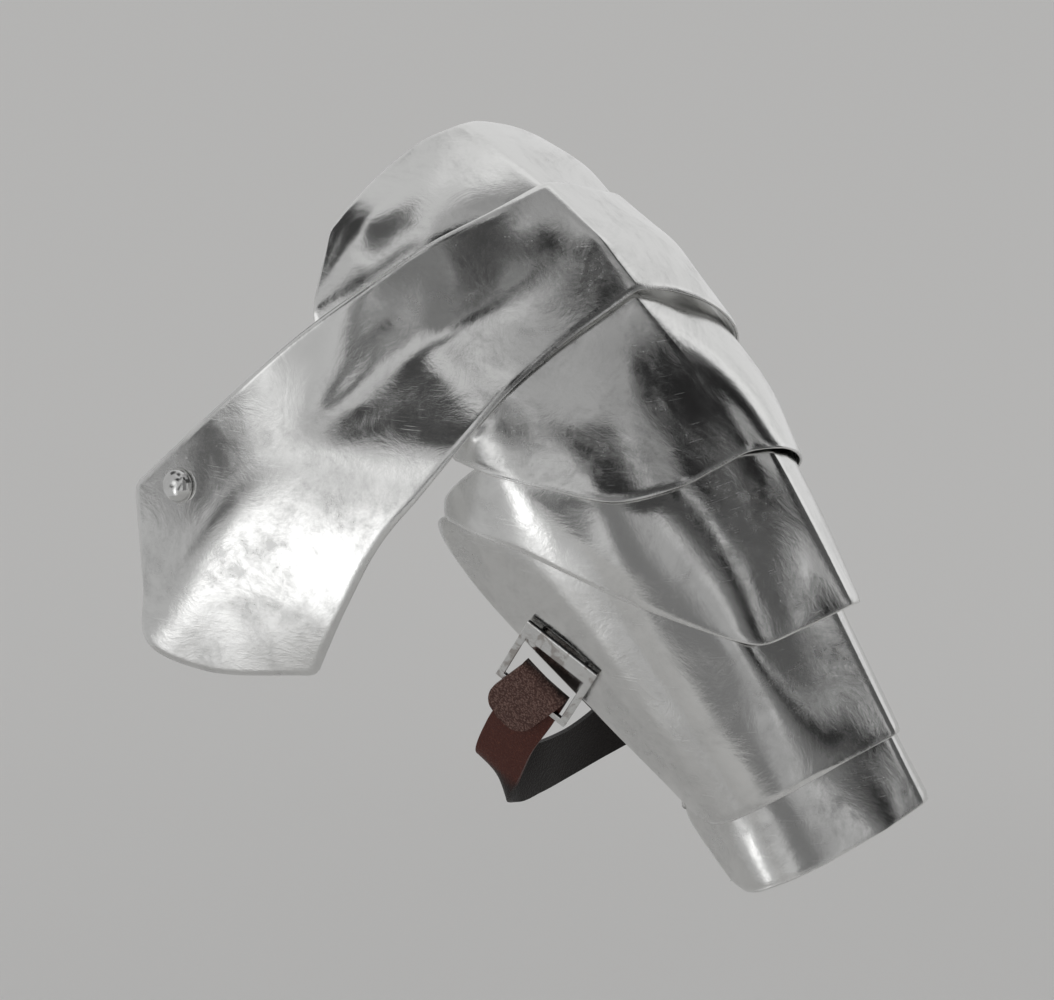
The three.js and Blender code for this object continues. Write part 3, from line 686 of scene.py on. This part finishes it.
# %% Lower lame
LOWER_RIDGE = 9
lower_rows = [
    dict(start=0.5, seam=(-1.113, -0.795, -1.165), gap=1.4, middle=(-1.138, -0.74, -1.011),
         hem=(-0.825, -0.385, -0.235)),
    dict(at=1.0, gap=1.2, hem=(-0.745, -0.43, -0.208), share=0.7),
    dict(at=2.0, gap=0.8, hem=(-0.67, -0.47, -0.2), share=0.6),
    dict(at=3.0, gap=1, hem=(-0.58, -0.485, -0.196)),
    dict(at=4.0, gap=1.4, hem=(-0.43, -0.46, -0.197)),
    dict(at=5.0, gap=2, hem=(-0.3, -0.38, -0.197)),
    dict(at=6.0, gap=2.5, hem=(-0.2, -0.26, -0.197)),
    dict(at=7.0, gap=4, hem=(-0.13, -0.15, -0.197)),
    dict(at=8.0, gap=7, hem=(-0.04, 0.02, -0.196)),
    dict(at=9.0, gap=10, hem=(0.046, 0.24, -0.19)),
    dict(at=10.0, gap=9, hem=(-0.02, 0.4, -0.19)),
    dict(at=11.0, gap=6, hem=(-0.16, 0.58, -0.19)),
    dict(at=12.0, gap=2, hem=(-0.45, 0.68, -0.195)),
    dict(at=13.0, gap=0.6, hem=(-0.85, 0.62, -0.21)),
]
lower = lame(middle, lower_rows, LOWER_RIDGE, limb)
print("hem of the lower lame at the ridge:", lower.at(LOWER_RIDGE, 1)[0].round(1))

# %% [markdown]
# The bottom lame is a short cuff with an open end. Its hem is nearly square to the arm.

# %% Bottom lame
BOTTOM_RIDGE = 8
bottom_rows = [
    dict(head=(-0.85, -0.36, -0.3), seam=(-0.895, -0.345, -0.241), middle=(-0.871, -0.34, -0.122),
         hem=(-0.845, -0.34, -0.05)),
    dict(at=0.6, gap=1.5, hem=(-0.785, -0.38, -0.027)),
    dict(at=1.3, gap=0.8, hem=(-0.735, -0.41, -0.016)),
    dict(at=2.2, gap=0.6, hem=(-0.635, -0.445, -0.01)),
    dict(at=3.6, gap=0.8, hem=(-0.47, -0.43, -0.006)),
    dict(at=4.7, gap=1, hem=(-0.33, -0.35, -0.004)),
    dict(at=5.8, gap=1.2, hem=(-0.22, -0.23, -0.004)),
    dict(at=7.5, gap=1.5, hem=(-0.09, -0.05, -0.005)),
    dict(at=9.0, gap=2, hem=(0.008, 0.24, -0.006)),
    dict(at=10.0, gap=1.8, hem=(-0.045, 0.39, -0.006)),
    dict(at=11.0, gap=1.2, hem=(-0.17, 0.55, -0.006)),
    dict(at=12.0, gap=0.8, hem=(-0.47, 0.64, -0.006)),
    dict(at=13.0, gap=0.6, hem=(-0.82, 0.58, -0.03)),
]
bottom = lame(lower, bottom_rows, BOTTOM_RIDGE, limb)
print("hem of the bottom lame at the ridge:", bottom.at(BOTTOM_RIDGE, 1)[0].round(1))

# %% [markdown]
# A mesh of even squares would waste faces on the broad flats and starve the rims. The stations are spaced by
# distance instead: every few millimetres on the flats, and a fraction of one beside the rims and the ridge.

# %% Stations of the mesh
MESH_STEP = 2.4
RIM_STOPS = (0, 0.5, 1.2, 2.2, 3.5, 5)
RIDGE_STOPS = (0, 0.7, 1.5, 2.5, 3.8, 5.5)
SAMPLES = 240
LINES_ROUND = (0.25, 0.5, 0.75)
LINES_ACROSS = 9


def stops(length, start, end):
    first = [stop for stop in start if stop < length / 2]
    last = [length - stop for stop in end if stop < length / 2][::-1]
    count = max(2, round((last[0] - first[-1]) / MESH_STEP))
    return np.concatenate([first[:-1], np.linspace(first[-1], last[0], count + 1), last[1:]])


def distances(face, u, v):
    steps = np.linalg.norm(np.diff(face.at(u, v), axis=0), axis=1)
    return np.concatenate([[0], np.cumsum(steps)])


def stations_round(face):
    halves = []
    for first, last, start, end in ((0, face.ridge, RIM_STOPS, RIDGE_STOPS),
                                    (face.ridge, face.rounds, RIDGE_STOPS, RIM_STOPS)):
        u = np.linspace(first, last, SAMPLES)
        reach = np.mean([distances(face, u, v) for v in LINES_ROUND], axis=0)
        halves.append(np.interp(stops(reach[-1], start, end), reach, u))
    return np.concatenate([halves[0], halves[1][1:]]), len(halves[0]) - 1


def stations_across(face):
    v = np.linspace(0, 1, SAMPLES)
    reach = np.mean([distances(face, u, v) for u in np.linspace(0, face.rounds, LINES_ACROSS)], axis=0)
    return np.interp(stops(reach[-1], RIM_STOPS, RIM_STOPS), reach, v)


counts = [len(stations_round(shoulder)[0]), len(stations_across(shoulder))]
print("stations round the shoulder plate and across it:", counts)

# %% [markdown]
# Each corner of a plate is filed round, so that it can't cut a strap. The corner stations of the mesh are
# drawn in along both directions, which turns the square corner of the net into a quarter circle.

# %% Rounded corners
CORNER_PROBE = 0.01


def rounded(face, u, v, radius):
    u, v = u.copy(), v.copy()
    for end_u, way_u in ((0, 1), (face.rounds, -1)):
        for end_v, way_v in ((0, 1), (1, -1)):
            here, round_on, down_on = face.at([end_u, end_u + way_u * CORNER_PROBE * face.rounds, end_u],
                                              [end_v, end_v, end_v + way_v * CORNER_PROBE])
            per_u = np.linalg.norm(round_on - here) / (CORNER_PROBE * face.rounds) / radius
            per_v = np.linalg.norm(down_on - here) / CORNER_PROBE / radius
            x = np.maximum(1 - abs(u - end_u) * per_u, 0)
            y = np.maximum(1 - abs(v - end_v) * per_v, 0)
            near = (x > 0) & (y > 0)
            u = np.where(near, end_u + way_u * (1 - x * np.sqrt(1 - y**2 / 2)) / per_u, u)
            v = np.where(near, end_v + way_v * (1 - y * np.sqrt(1 - x**2 / 2)) / per_v, v)
    return u, v


corner = shoulder.at(*rounded(shoulder, np.zeros(1), np.zeros(1), 5))
drawn = np.linalg.norm(corner - shoulder.at(0, 0))
print("a corner rounded by 5 mm draws in by", round(float(drawn), 1), "mm")

# %% [markdown]
# Hammering and planishing leave broad, calm curves. The net is relaxed a little along its own normals, each
# side of the ridge by itself, and then the ridge is turned over a radius, as sheet does on a stake.

# %% Calm curves and a turned ridge
SOFTEN = 0.5
RIDGE_TURN = 0.75


def net_normals(net):
    return unit(np.cross(np.gradient(net, axis=1), np.gradient(net, axis=0)))


def relaxed(net, ridge, times):
    net = net.copy()
    for part in [net[:ridge + 1], net[ridge:]] * times:
        pull = (part[:-2, 1:-1] + part[2:, 1:-1] + part[1:-1, :-2] + part[1:-1, 2:]) / 4 - part[1:-1, 1:-1]
        normal = net_normals(part)[1:-1, 1:-1]
        part[1:-1, 1:-1] += SOFTEN * np.sum(pull * normal, axis=2, keepdims=True) * normal
    return net


def turned_ridge(net, ridge):
    net = net.copy()
    reach = len(RIDGE_STOPS) - 1
    before, peak, after = (net[i].copy() for i in (ridge - reach, ridge, ridge + reach))
    for k in range(1 - reach, reach):
        t = 0.5 + math.copysign(RIDGE_STOPS[abs(k)], k) / RIDGE_STOPS[-1] / 2
        arc = before * (1 - t)**2 + peak * 2 * t * (1 - t) + after * t**2
        net[ridge + k] += (arc - net[ridge + k]) * RIDGE_TURN
    return net


def from_borders(net):
    """Distance of every station from the nearest end and from the nearest edge, in mm."""
    out = []
    for axis in (0, 1):
        steps = np.linalg.norm(np.diff(net, axis=axis), axis=2)
        ahead = np.cumsum(steps, axis=axis)
        ahead = np.insert(ahead, 0, 0, axis=axis)
        out.append(np.minimum(ahead, ahead.take([-1], axis=axis) - ahead))
    return out


def rolled_rim(net, reach, depth):
    ends, edges = from_borders(net)
    share = np.hypot(np.clip(1 - ends / reach, 0, 1), np.clip(1 - edges / reach, 0, 1))
    drop = depth * np.minimum(share, 1)**2
    return net - net_normals(net) * drop[:, :, None]


print("a ridge is turned over a strip", 2 * RIDGE_STOPS[-1], "mm wide")

# %% [markdown]
# The sheet's wall is closed by hand: an outer net, an inner net one sheet below it, and a few rings that run
# round the rim in a half circle. A rim with a true radius catches a thin line of light, as filed steel does.

# %% Closed sheets
RIM_RINGS = 4
RIM_BULGE = 0.4


def closed_sheet(net, thickness):
    rows, cols = net.shape[:2]
    normals = net_normals(net)
    border = [(i, 0) for i in range(rows)] + [(rows - 1, j) for j in range(1, cols)]
    border += [(i, cols - 1) for i in range(rows - 2, -1, -1)] + [(0, j) for j in range(cols - 2, 0, -1)]
    i, j = np.array(border).T
    edge, normal = net[i, j], normals[i, j]
    out = unit(np.cross(normal, np.roll(edge, -1, axis=0) - np.roll(edge, 1, axis=0)))
    points = [net.reshape(-1, 3), (net - normals * thickness).reshape(-1, 3)]
    rings = [i * cols + j]
    for k in range(1, RIM_RINGS):
        turn = math.pi * k / RIM_RINGS
        points.append(edge - normal * thickness * (1 - math.cos(turn)) / 2 + out * RIM_BULGE * math.sin(turn))
        rings.append(2 * rows * cols + (k - 1) * len(border) + np.arange(len(border)))
    rings.append(rows * cols + i * cols + j)
    at = np.arange(rows * cols).reshape(rows, cols)
    quads = np.stack([at[:-1, :-1], at[:-1, 1:], at[1:, 1:], at[1:, :-1]], axis=2).reshape(-1, 4)
    faces = [quads, quads[:, ::-1] + rows * cols]
    for near, far in zip(rings, rings[1:]):
        faces.append(np.stack([near, np.roll(near, -1), np.roll(far, -1), far], axis=1))
    return np.concatenate(points), np.concatenate(faces)


def mesh_object(name, points, faces, material, smooth=True):
    mesh = bpy.data.meshes.new(name)
    mesh.from_pydata((np.array(points) * MM).tolist(), [], [list(map(int, face)) for face in faces])
    mesh.materials.append(material)
    if smooth:
        mesh.shade_smooth()
    piece = bpy.data.objects.new(name, mesh)
    bpy.context.collection.objects.link(piece)
    return piece


patch = np.array([[(i, j, 0) for j in range(3)] for i in range(3)], float)
print("a flat patch of 3 by 3 points closes into", len(closed_sheet(patch, SHEET)[1]), "faces")

# %% [markdown]
# Each plate takes its place in the frame: it rides the one body, hides the imported solid of its name and
# takes the plate steel. Its distance from the rim is kept on its points, for the wear of the finish.

# %% Six plates
ROLL_REACH = 3.5
plates = {  # face, corner radius, relaxing rounds, rim roll
    "neck_plate": (neck, 4, 12, 0.5),
    "shoulder_plate": (shoulder, 5, 6, 0.9),
    "upper_lame": (upper, 4, 14, 0.6),
    "middle_lame": (middle, 4, 14, 0.6),
    "lower_lame": (lower, 4, 14, 0.6),
    "bottom_lame": (bottom, 3, 14, 0.6),
}


def make_plate(node, face, corner, times, roll):
    stations, ridge = stations_round(face)
    u, v = np.meshgrid(stations, stations_across(face), indexing="ij")
    shape = u.shape
    u, v = rounded(face, u, v, corner)
    net = face.at(u, v).reshape(*shape, 3)
    net = turned_ridge(relaxed(net, ridge, times), ridge)
    rim = np.minimum(*from_borders(net)).ravel()
    points, faces = closed_sheet(rolled_rim(net, ROLL_REACH, roll), SHEET)
    piece = mesh_object(node + "_sheet", points, faces, plate_steel)
    depths = np.concatenate([rim, rim, np.zeros(len(points) - 2 * rim.size)])
    layer = piece.data.attributes.new("rim", "FLOAT", "POINT")
    layer.data.foreach_set("value", np.float32(depths))
    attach(piece, "root")
    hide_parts(node)
    return piece


sheets = {node: make_plate(node, *row) for node, row in plates.items()}
print("triangles:", {node: 2 * len(piece.data.polygons) for node, piece in sheets.items()})

# %% [markdown]
# Studs, rivets and posts are turned shapes: a profile of radius and height spun round an axis. The axis
# stands on a plate's face, so a seat gives the place, with its Z out of the sheet and its X down the plate.

# %% Seats and turned pieces
TURN_STEPS = 64


def seat_on(face, u, v, turn=0):
    normal = face.normal(u, v)[0]
    down = face.tangents(u, v)[1][0]
    angle = math.radians(turn)
    down = down * math.cos(angle) + np.cross(normal, down) * math.sin(angle)
    place = np.eye(4)
    place[:3, :3] = np.stack([down, np.cross(normal, down), normal], axis=1)
    place[:3, 3] = face.at(u, v)[0]
    return place


def moved(place, x, y, z):
    return place @ np.array([[1, 0, 0, x], [0, 1, 0, y], [0, 0, 1, z], [0, 0, 0, 1]])


def placed(place, points):
    return np.array(points) @ place[:3, :3].T + place[:3, 3]


def turned(profile, place):
    """Points and faces of a profile spun round the Z of a place; it starts and ends on the axis."""
    body_rows = profile[1:-1]
    turns = np.arange(TURN_STEPS) * 2 * math.pi / TURN_STEPS
    points = [(0, 0, profile[0][1]), (0, 0, profile[-1][1])]
    points += [(r * math.cos(turn), r * math.sin(turn), h) for r, h in body_rows for turn in turns]
    faces = []
    for k in range(TURN_STEPS):
        beside = (k + 1) % TURN_STEPS
        faces.append((0, 2 + beside, 2 + k))
        last = 2 + (len(body_rows) - 1) * TURN_STEPS
        faces.append((1, last + k, last + beside))
        for i in range(len(body_rows) - 1):
            low = 2 + i * TURN_STEPS
            faces.append((low + k, low + beside, low + TURN_STEPS + beside, low + TURN_STEPS + k))
    return placed(place, points), faces


def joined(parts):
    points, faces = [], []
    for some, rings in parts:
        faces += [tuple(i + len(points) for i in ring) for ring in rings]
        points += list(some)
    return points, faces


print("a seat at the shoulder's ridge:", seat_on(shoulder, SHOULDER_RIDGE, 0.5)[:3, 3].round(1))

# %% [markdown]
# The stud on the wing is a polished dome that mirrors the whole room. Its lower rim turns in over a small
# radius, which leaves the thin dark ring that shows where the dome meets the plate.

# %% Wing stud and strap rivet
STUD_RADIUS = 8.8
STUD_HEIGHT = 7
SHANK_RADIUS = 2.2
TAIL_RADIUS = 4.4
TAIL_HEIGHT = 1.2
STUD_ROUND = 0.7
STUD_ACROSS = 0.12
RIVET_RADIUS = 4.5
RIVET_HEIGHT = 2.2
RIVET_SHANK = 1.8
RIVET_ROUND = 12.55
RIVET_ACROSS = 0.72
RIVET_SLACK = 1.3
DOME_STEPS = 20
LIP = 0.5


def rivet_profile(radius, height, shank, stack, tail):
    low = -stack - SEAT
    end = low - TAIL_HEIGHT
    profile = [(0, end), (tail - LIP, end), (tail, end + LIP), (tail, low), (shank, low), (shank, SEAT)]
    profile += [(radius - LIP, SEAT), (radius - LIP / 4, SEAT + LIP / 4)]
    for i in range(1, DOME_STEPS):
        turn = i / DOME_STEPS * math.pi / 2
        profile.append((radius * math.cos(turn), SEAT + LIP / 2 + (height - LIP / 2) * math.sin(turn)))
    return profile + [(0, SEAT + height)]


def make_rivet(name, node, place, material, sizes):
    piece = mesh_object(name, *turned(rivet_profile(*sizes), place), material)
    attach(piece, "root")
    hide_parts(node)
    return piece


stud_place = seat_on(shoulder, STUD_ROUND, STUD_ACROSS)
stud_sizes = (STUD_RADIUS, STUD_HEIGHT, SHANK_RADIUS, SHEET, TAIL_RADIUS)
stud = make_rivet("wing_stud_dome", "wing_stud", stud_place, stud_steel, stud_sizes)
rivet_place = seat_on(lower, RIVET_ROUND, RIVET_ACROSS)
rivet_stack = SHEET + SEAT + LEATHER + RIVET_SLACK
rivet_sizes = (RIVET_RADIUS, RIVET_HEIGHT, RIVET_SHANK, rivet_stack, TAIL_RADIUS)
strap_rivet = make_rivet("strap_rivet_head", "strap_rivet", rivet_place, buckle_steel, rivet_sizes)
print("faces of the stud and of the rivet:", len(stud.data.polygons), len(strap_rivet.data.polygons))

# %% [markdown]
# The buckle is a flat frame: a wide bar that lies on the lame, two thin arms and an end bar for the strap.
# It is made as four quads round a window, walled and then softened with a Bevel modifier on every edge. The
# sides that face away from the strap mirror only shade, so painted shade darkens their steel colour.

# %% Buckle frame
BUCKLE_WIDTH = 43
BUCKLE_LENGTH = 42
BUCKLE_TOP = 10
BUCKLE_ARM = 3.8
BUCKLE_THICK = 2.2
BUCKLE_TURN = 20.3
BUCKLE_DIP = -8
BUCKLE_LIFT = 1.9
BUCKLE_ROUND = 0.76
BUCKLE_ACROSS = 0.739
BUCKLE_SOFTNESS = 0.6
POST_RADIUS = 1.6
POST_TAIL = 2.8
POST_SPREAD = 0.62
POST_SLACK = 0.3

dip = math.radians(BUCKLE_DIP)
buckle_seat = seat_on(lower, BUCKLE_ROUND, BUCKLE_ACROSS, BUCKLE_TURN)
buckle_place = moved(buckle_seat, 0, 0, BUCKLE_LIFT) @ np.array(
    [[1, 0, 0, 0], [0, math.cos(dip), -math.sin(dip), 0], [0, math.sin(dip), math.cos(dip), 0], [0, 0, 0, 1]])
half = BUCKLE_WIDTH / 2
bar_end = BUCKLE_TOP / 2 - BUCKLE_LENGTH


def buckle_parts():
    inside = half - BUCKLE_ARM
    outer = [(-half, BUCKLE_TOP / 2), (-half, bar_end), (half, bar_end), (half, BUCKLE_TOP / 2)]
    window = [(-inside, -BUCKLE_TOP / 2), (-inside, bar_end + BUCKLE_ARM),
              (inside, bar_end + BUCKLE_ARM), (inside, -BUCKLE_TOP / 2)]
    points = [(x, y, z) for z in (0, BUCKLE_THICK) for x, y in outer + window]
    faces = []
    for k in range(4):
        n = (k + 1) % 4
        faces += [(8 + k, 8 + n, 12 + n, 12 + k), (k, 4 + k, 4 + n, n),
                  (k, n, 8 + n, 8 + k), (4 + n, 4 + k, 12 + k, 12 + n)]
    return placed(buckle_place, points), faces


def post_parts(side):
    depth = SHEET + SEAT + POST_SLACK
    top = BUCKLE_LIFT + BUCKLE_THICK / 2
    profile = [(0, -depth - TAIL_HEIGHT), (POST_TAIL, -depth - TAIL_HEIGHT), (POST_TAIL, -depth),
               (POST_RADIUS, -depth), (POST_RADIUS, top), (0, top)]
    return turned(profile, moved(buckle_seat, side * half * POST_SPREAD, 0, 0))


def soften(piece, width, segments=3):
    bevel = piece.modifiers.new("soft edges", "BEVEL")
    bevel.width = width * MM
    bevel.segments = segments
    bevel.limit_method = "ANGLE"
    bevel.harden_normals = True


buckle_shape = joined([buckle_parts(), post_parts(-1), post_parts(1)])
buckle = mesh_object("buckle_bars", *buckle_shape, buckle_steel, smooth=False)
soften(buckle, BUCKLE_SOFTNESS)
# Painted shade on the sides of the frame that face away from the strap.
paint_shade_on_side(buckle_steel, buckle_place[:3, 1])
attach(buckle, "root")
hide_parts("buckle_frame")
print("buckle seat:", buckle_place[:3, 3].round(1))

# %% [markdown]
# The strap goes out from its tongue over the end bar, folds back beneath it and runs round the inside of the
# arm. Its route is a short list of stations; each may lean towards the arm's length or twist as leather does.

# %% Strap route
STRAP_WIDTH = 28
TONGUE_LENGTH = 23
TONGUE_RISE = 0.8
TONGUE_ASIDE = 9
FOLD_REACH = 15
FOLD_SKEW = 8
FOLD_ASIDE = -1.5
TIP_SHARE = 0.12
PATH_STEP = 1.4

clear = BUCKLE_THICK / 2 + SEAT + LEATHER / 2
layer = (LEATHER + SEAT) / 2


def on_buckle(length, height, aside=0):
    return placed(buckle_place, (-aside, bar_end + BUCKLE_ARM / 2 - length, BUCKLE_THICK / 2 + height))


def inward(u, depth):
    return lower.under(u, RIVET_ACROSS, SEAT + LEATHER / 2 + depth)


strap_path = [  # place, lean towards the arm, twist
    (on_buckle(TONGUE_LENGTH, layer + TONGUE_RISE, TONGUE_ASIDE), 0, 0),
    (on_buckle(TONGUE_LENGTH * 0.5, clear, TONGUE_ASIDE * 0.6), 0, 0),
    (on_buckle(0, clear, TONGUE_ASIDE * 0.25), 0, 0),
    (on_buckle(-FOLD_REACH * 0.55, clear * 1.1, 0), 0, 0),
    (on_buckle(-FOLD_REACH * 0.92, clear * 0.75, FOLD_ASIDE), 0, 0),
    (on_buckle(-FOLD_REACH, 0, FOLD_ASIDE), 0, 0),
    (on_buckle(-FOLD_REACH * 0.92, -clear * 0.75, FOLD_ASIDE), 0, 0),
    (on_buckle(-FOLD_REACH * 0.55, -clear * 1.1, FOLD_ASIDE), 0, 0),
    (on_buckle(0, -clear, FOLD_ASIDE), 0, 0),
    (on_buckle(TONGUE_LENGTH * 0.4, -clear, FOLD_ASIDE), 0.1, 0),
    (limb((-1.506, -0.557, -0.605)), 0.3, 0),
    (limb((-1.68, -0.52, -0.543)), 0.36, 0),
    (limb((-1.71, -0.36, -0.507)), 0.7, 0.4),
    (limb((-1.71, -0.17, -0.492)), 0.9, 0.6),
    (limb((-1.69, 0.09, -0.484)), 1, 0.7),
    (limb((-1.6, 0.34, -0.489)), 1, 0.6),
    (limb((-1.36, 0.58, -0.505)), 1, 0.3),
    (limb((-1.06, 0.69, -0.52)), 1, 0.1),
    (inward(12.85, 0.6), 1, 0),
    (inward(12.38, 1.3), 1, 0),
]


def strap_rows():
    places = np.array([row[0] for row in strap_path])
    fine = np.linspace(0, len(places) - 1, SAMPLES * 4)
    track = spline(places[:, None], fine)
    reach = np.concatenate([[0], np.cumsum(np.linalg.norm(np.diff(track, axis=0), axis=1))])
    gone = np.linspace(0, reach[-1], round(reach[-1] / PATH_STEP) + 1)
    t = np.interp(gone, reach, fine)
    centre = spline(places[:, None], t)
    run = unit(np.gradient(centre, axis=0))
    at = np.arange(len(places))
    lean, twist = (np.interp(t, at, [row[k] for row in strap_path])[:, None] for k in (1, 2))
    skew = math.radians(FOLD_SKEW)
    across_bar = buckle_place[:3, :3] @ [math.cos(skew), -math.sin(skew), 0]
    down_arm = lower.tangents(RIVET_ROUND, RIVET_ACROSS)[1]
    side = across_bar + (down_arm - across_bar) * lean - outward * twist
    side = unit(side - run * np.sum(side * run, axis=1, keepdims=True))
    left = np.clip(1 - gone / (STRAP_WIDTH / 2), 0, 1)
    width = STRAP_WIDTH / 2 * (TIP_SHARE + (1 - TIP_SHARE) * np.sqrt(1 - left**2))
    return centre, side, width, gone


strap_centre, strap_side, strap_half, strap_gone = strap_rows()
print("strap length along its middle:", round(strap_gone[-1], 1), "mm in", len(strap_gone), "rows")

# %% [markdown]
# A ribbon that follows a route is made by Geometry Nodes: a grid has one row for each point of the route, and
# each row takes the place, the sideways direction and the width of its point. A crown lifts the middle.

# %% Ribbon tree
RIBBON_ACROSS = 15
RIBBON_CROWN = 0.35


def ribbon_tree():
    tree = bpy.data.node_groups.new("ribbon along a route", "GeometryNodeTree")
    inputs = {"Geometry": "Geometry", "Points across": "Int", "Crown": "Float", "Material": "Material"}
    for name, kind in inputs.items():
        tree.interface.new_socket(name, in_out="INPUT", socket_type="NodeSocket" + kind)
    tree.interface.new_socket("Geometry", in_out="OUTPUT", socket_type="NodeSocketGeometry")
    add, maths, vector = tree_tools(tree)
    given = add("NodeGroupInput").outputs
    count = add("GeometryNodeAttributeDomainSize", {"Geometry": given["Geometry"]}).outputs["Point Count"]
    sizes = {"Size X": 2, "Size Y": 1, "Vertices X": given["Points across"], "Vertices Y": count}
    grid = add("GeometryNodeMeshGrid", sizes).outputs["Mesh"]
    place = add("ShaderNodeSeparateXYZ", {0: add("GeometryNodeInputPosition").outputs[0]}).outputs
    last = maths("SUBTRACT", count, 1)
    row = maths("ROUND", maths("MULTIPLY", maths("ADD", place["Y"], 0.5), last))

    def of_row(value, kind):
        values = {"Geometry": given["Geometry"], "Value": value, "Index": row}
        return add("GeometryNodeSampleIndex", values, data_type=kind).outputs["Value"]

    def kept(name, kind):
        return of_row(add("GeometryNodeInputNamedAttribute", {"Name": name}, data_type=kind).outputs[0], kind)

    def scaled(direction, length):
        return add("ShaderNodeVectorMath", {0: direction, "Scale": length}, operation="SCALE").outputs[0]

    centre = of_row(add("GeometryNodeInputPosition").outputs[0], "FLOAT_VECTOR")
    aside = maths("MULTIPLY", place["X"], kept("half", "FLOAT"))
    rise = maths("MULTIPLY", given["Crown"], maths("SUBTRACT", 1, maths("MULTIPLY", place["X"], place["X"])))
    stepped = vector("ADD", centre, scaled(kept("side", "FLOAT_VECTOR"), aside))
    lifted = vector("ADD", stepped, scaled(kept("face", "FLOAT_VECTOR"), rise))
    values = {"Geometry": grid, "Name": "gone", "Value": kept("gone", "FLOAT")}
    grid = add("GeometryNodeStoreNamedAttribute", values, data_type="FLOAT", domain="POINT").outputs[0]
    ribbon = add("GeometryNodeSetPosition", {"Geometry": grid, "Position": lifted}).outputs[0]
    smooth = add("GeometryNodeSetShadeSmooth", {"Geometry": ribbon}).outputs[0]
    real = add("GeometryNodeRealizeInstances", {"Geometry": smooth}).outputs[0]
    done = add("GeometryNodeSetMaterial", {"Geometry": real, "Material": given["Material"]}).outputs[0]
    add("NodeGroupOutput", {"Geometry": done})
    return tree


ribbon = ribbon_tree()
print("ribbon tree inputs:", [item.name for item in ribbon.interface.items_tree if item.in_out == "INPUT"])

# %% [markdown]
# The route becomes a mesh of bare points that carry their values as attributes. The tree turns it into the
# ribbon, the evaluated ribbon is kept as a plain mesh, and a Solidify gives the leather its thickness.

# %% Arm strap
def set_inputs(modifier, values):
    for item in modifier.node_group.interface.items_tree:
        if item.in_out == "INPUT" and item.name in values:
            modifier[item.identifier] = values[item.name]


def plain_copy(name, source):
    evaluated = source.evaluated_get(bpy.context.evaluated_depsgraph_get())
    mesh = bpy.data.meshes.new_from_object(evaluated)
    mesh.name = name
    piece = bpy.data.objects.new(name, mesh)
    bpy.context.collection.objects.link(piece)
    bpy.data.objects.remove(source)
    return piece


def make_strap():
    route = bpy.data.meshes.new("strap route")
    route.from_pydata((strap_centre * MM).tolist(), [], [])
    run = unit(np.gradient(strap_centre, axis=0))
    face = unit(np.cross(run, strap_side))
    for name, kind, values in (("side", "FLOAT_VECTOR", strap_side), ("face", "FLOAT_VECTOR", face),
                               ("half", "FLOAT", strap_half * MM), ("gone", "FLOAT", strap_gone)):
        stored = route.attributes.new(name, kind, "POINT")
        stored.data.foreach_set("vector" if values.ndim == 2 else "value", values.astype(np.float32).ravel())
    source = bpy.data.objects.new("strap route", route)
    bpy.context.collection.objects.link(source)
    modifier = source.modifiers.new("ribbon", "NODES")
    modifier.node_group = ribbon
    sizes = {"Points across": RIBBON_ACROSS, "Crown": RIBBON_CROWN * MM}
    set_inputs(modifier, {**sizes, "Material": strap_leather})
    piece = plain_copy("arm_strap_leather", source)
    wall = piece.modifiers.new("thickness", "SOLIDIFY")
    wall.thickness = LEATHER * MM
    wall.offset = 0
    soften(piece, LEATHER / 3)
    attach(piece, "root")
    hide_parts("arm_strap")
    return piece


strap = make_strap()
print("strap grid:", len(strap.data.vertices), "points")
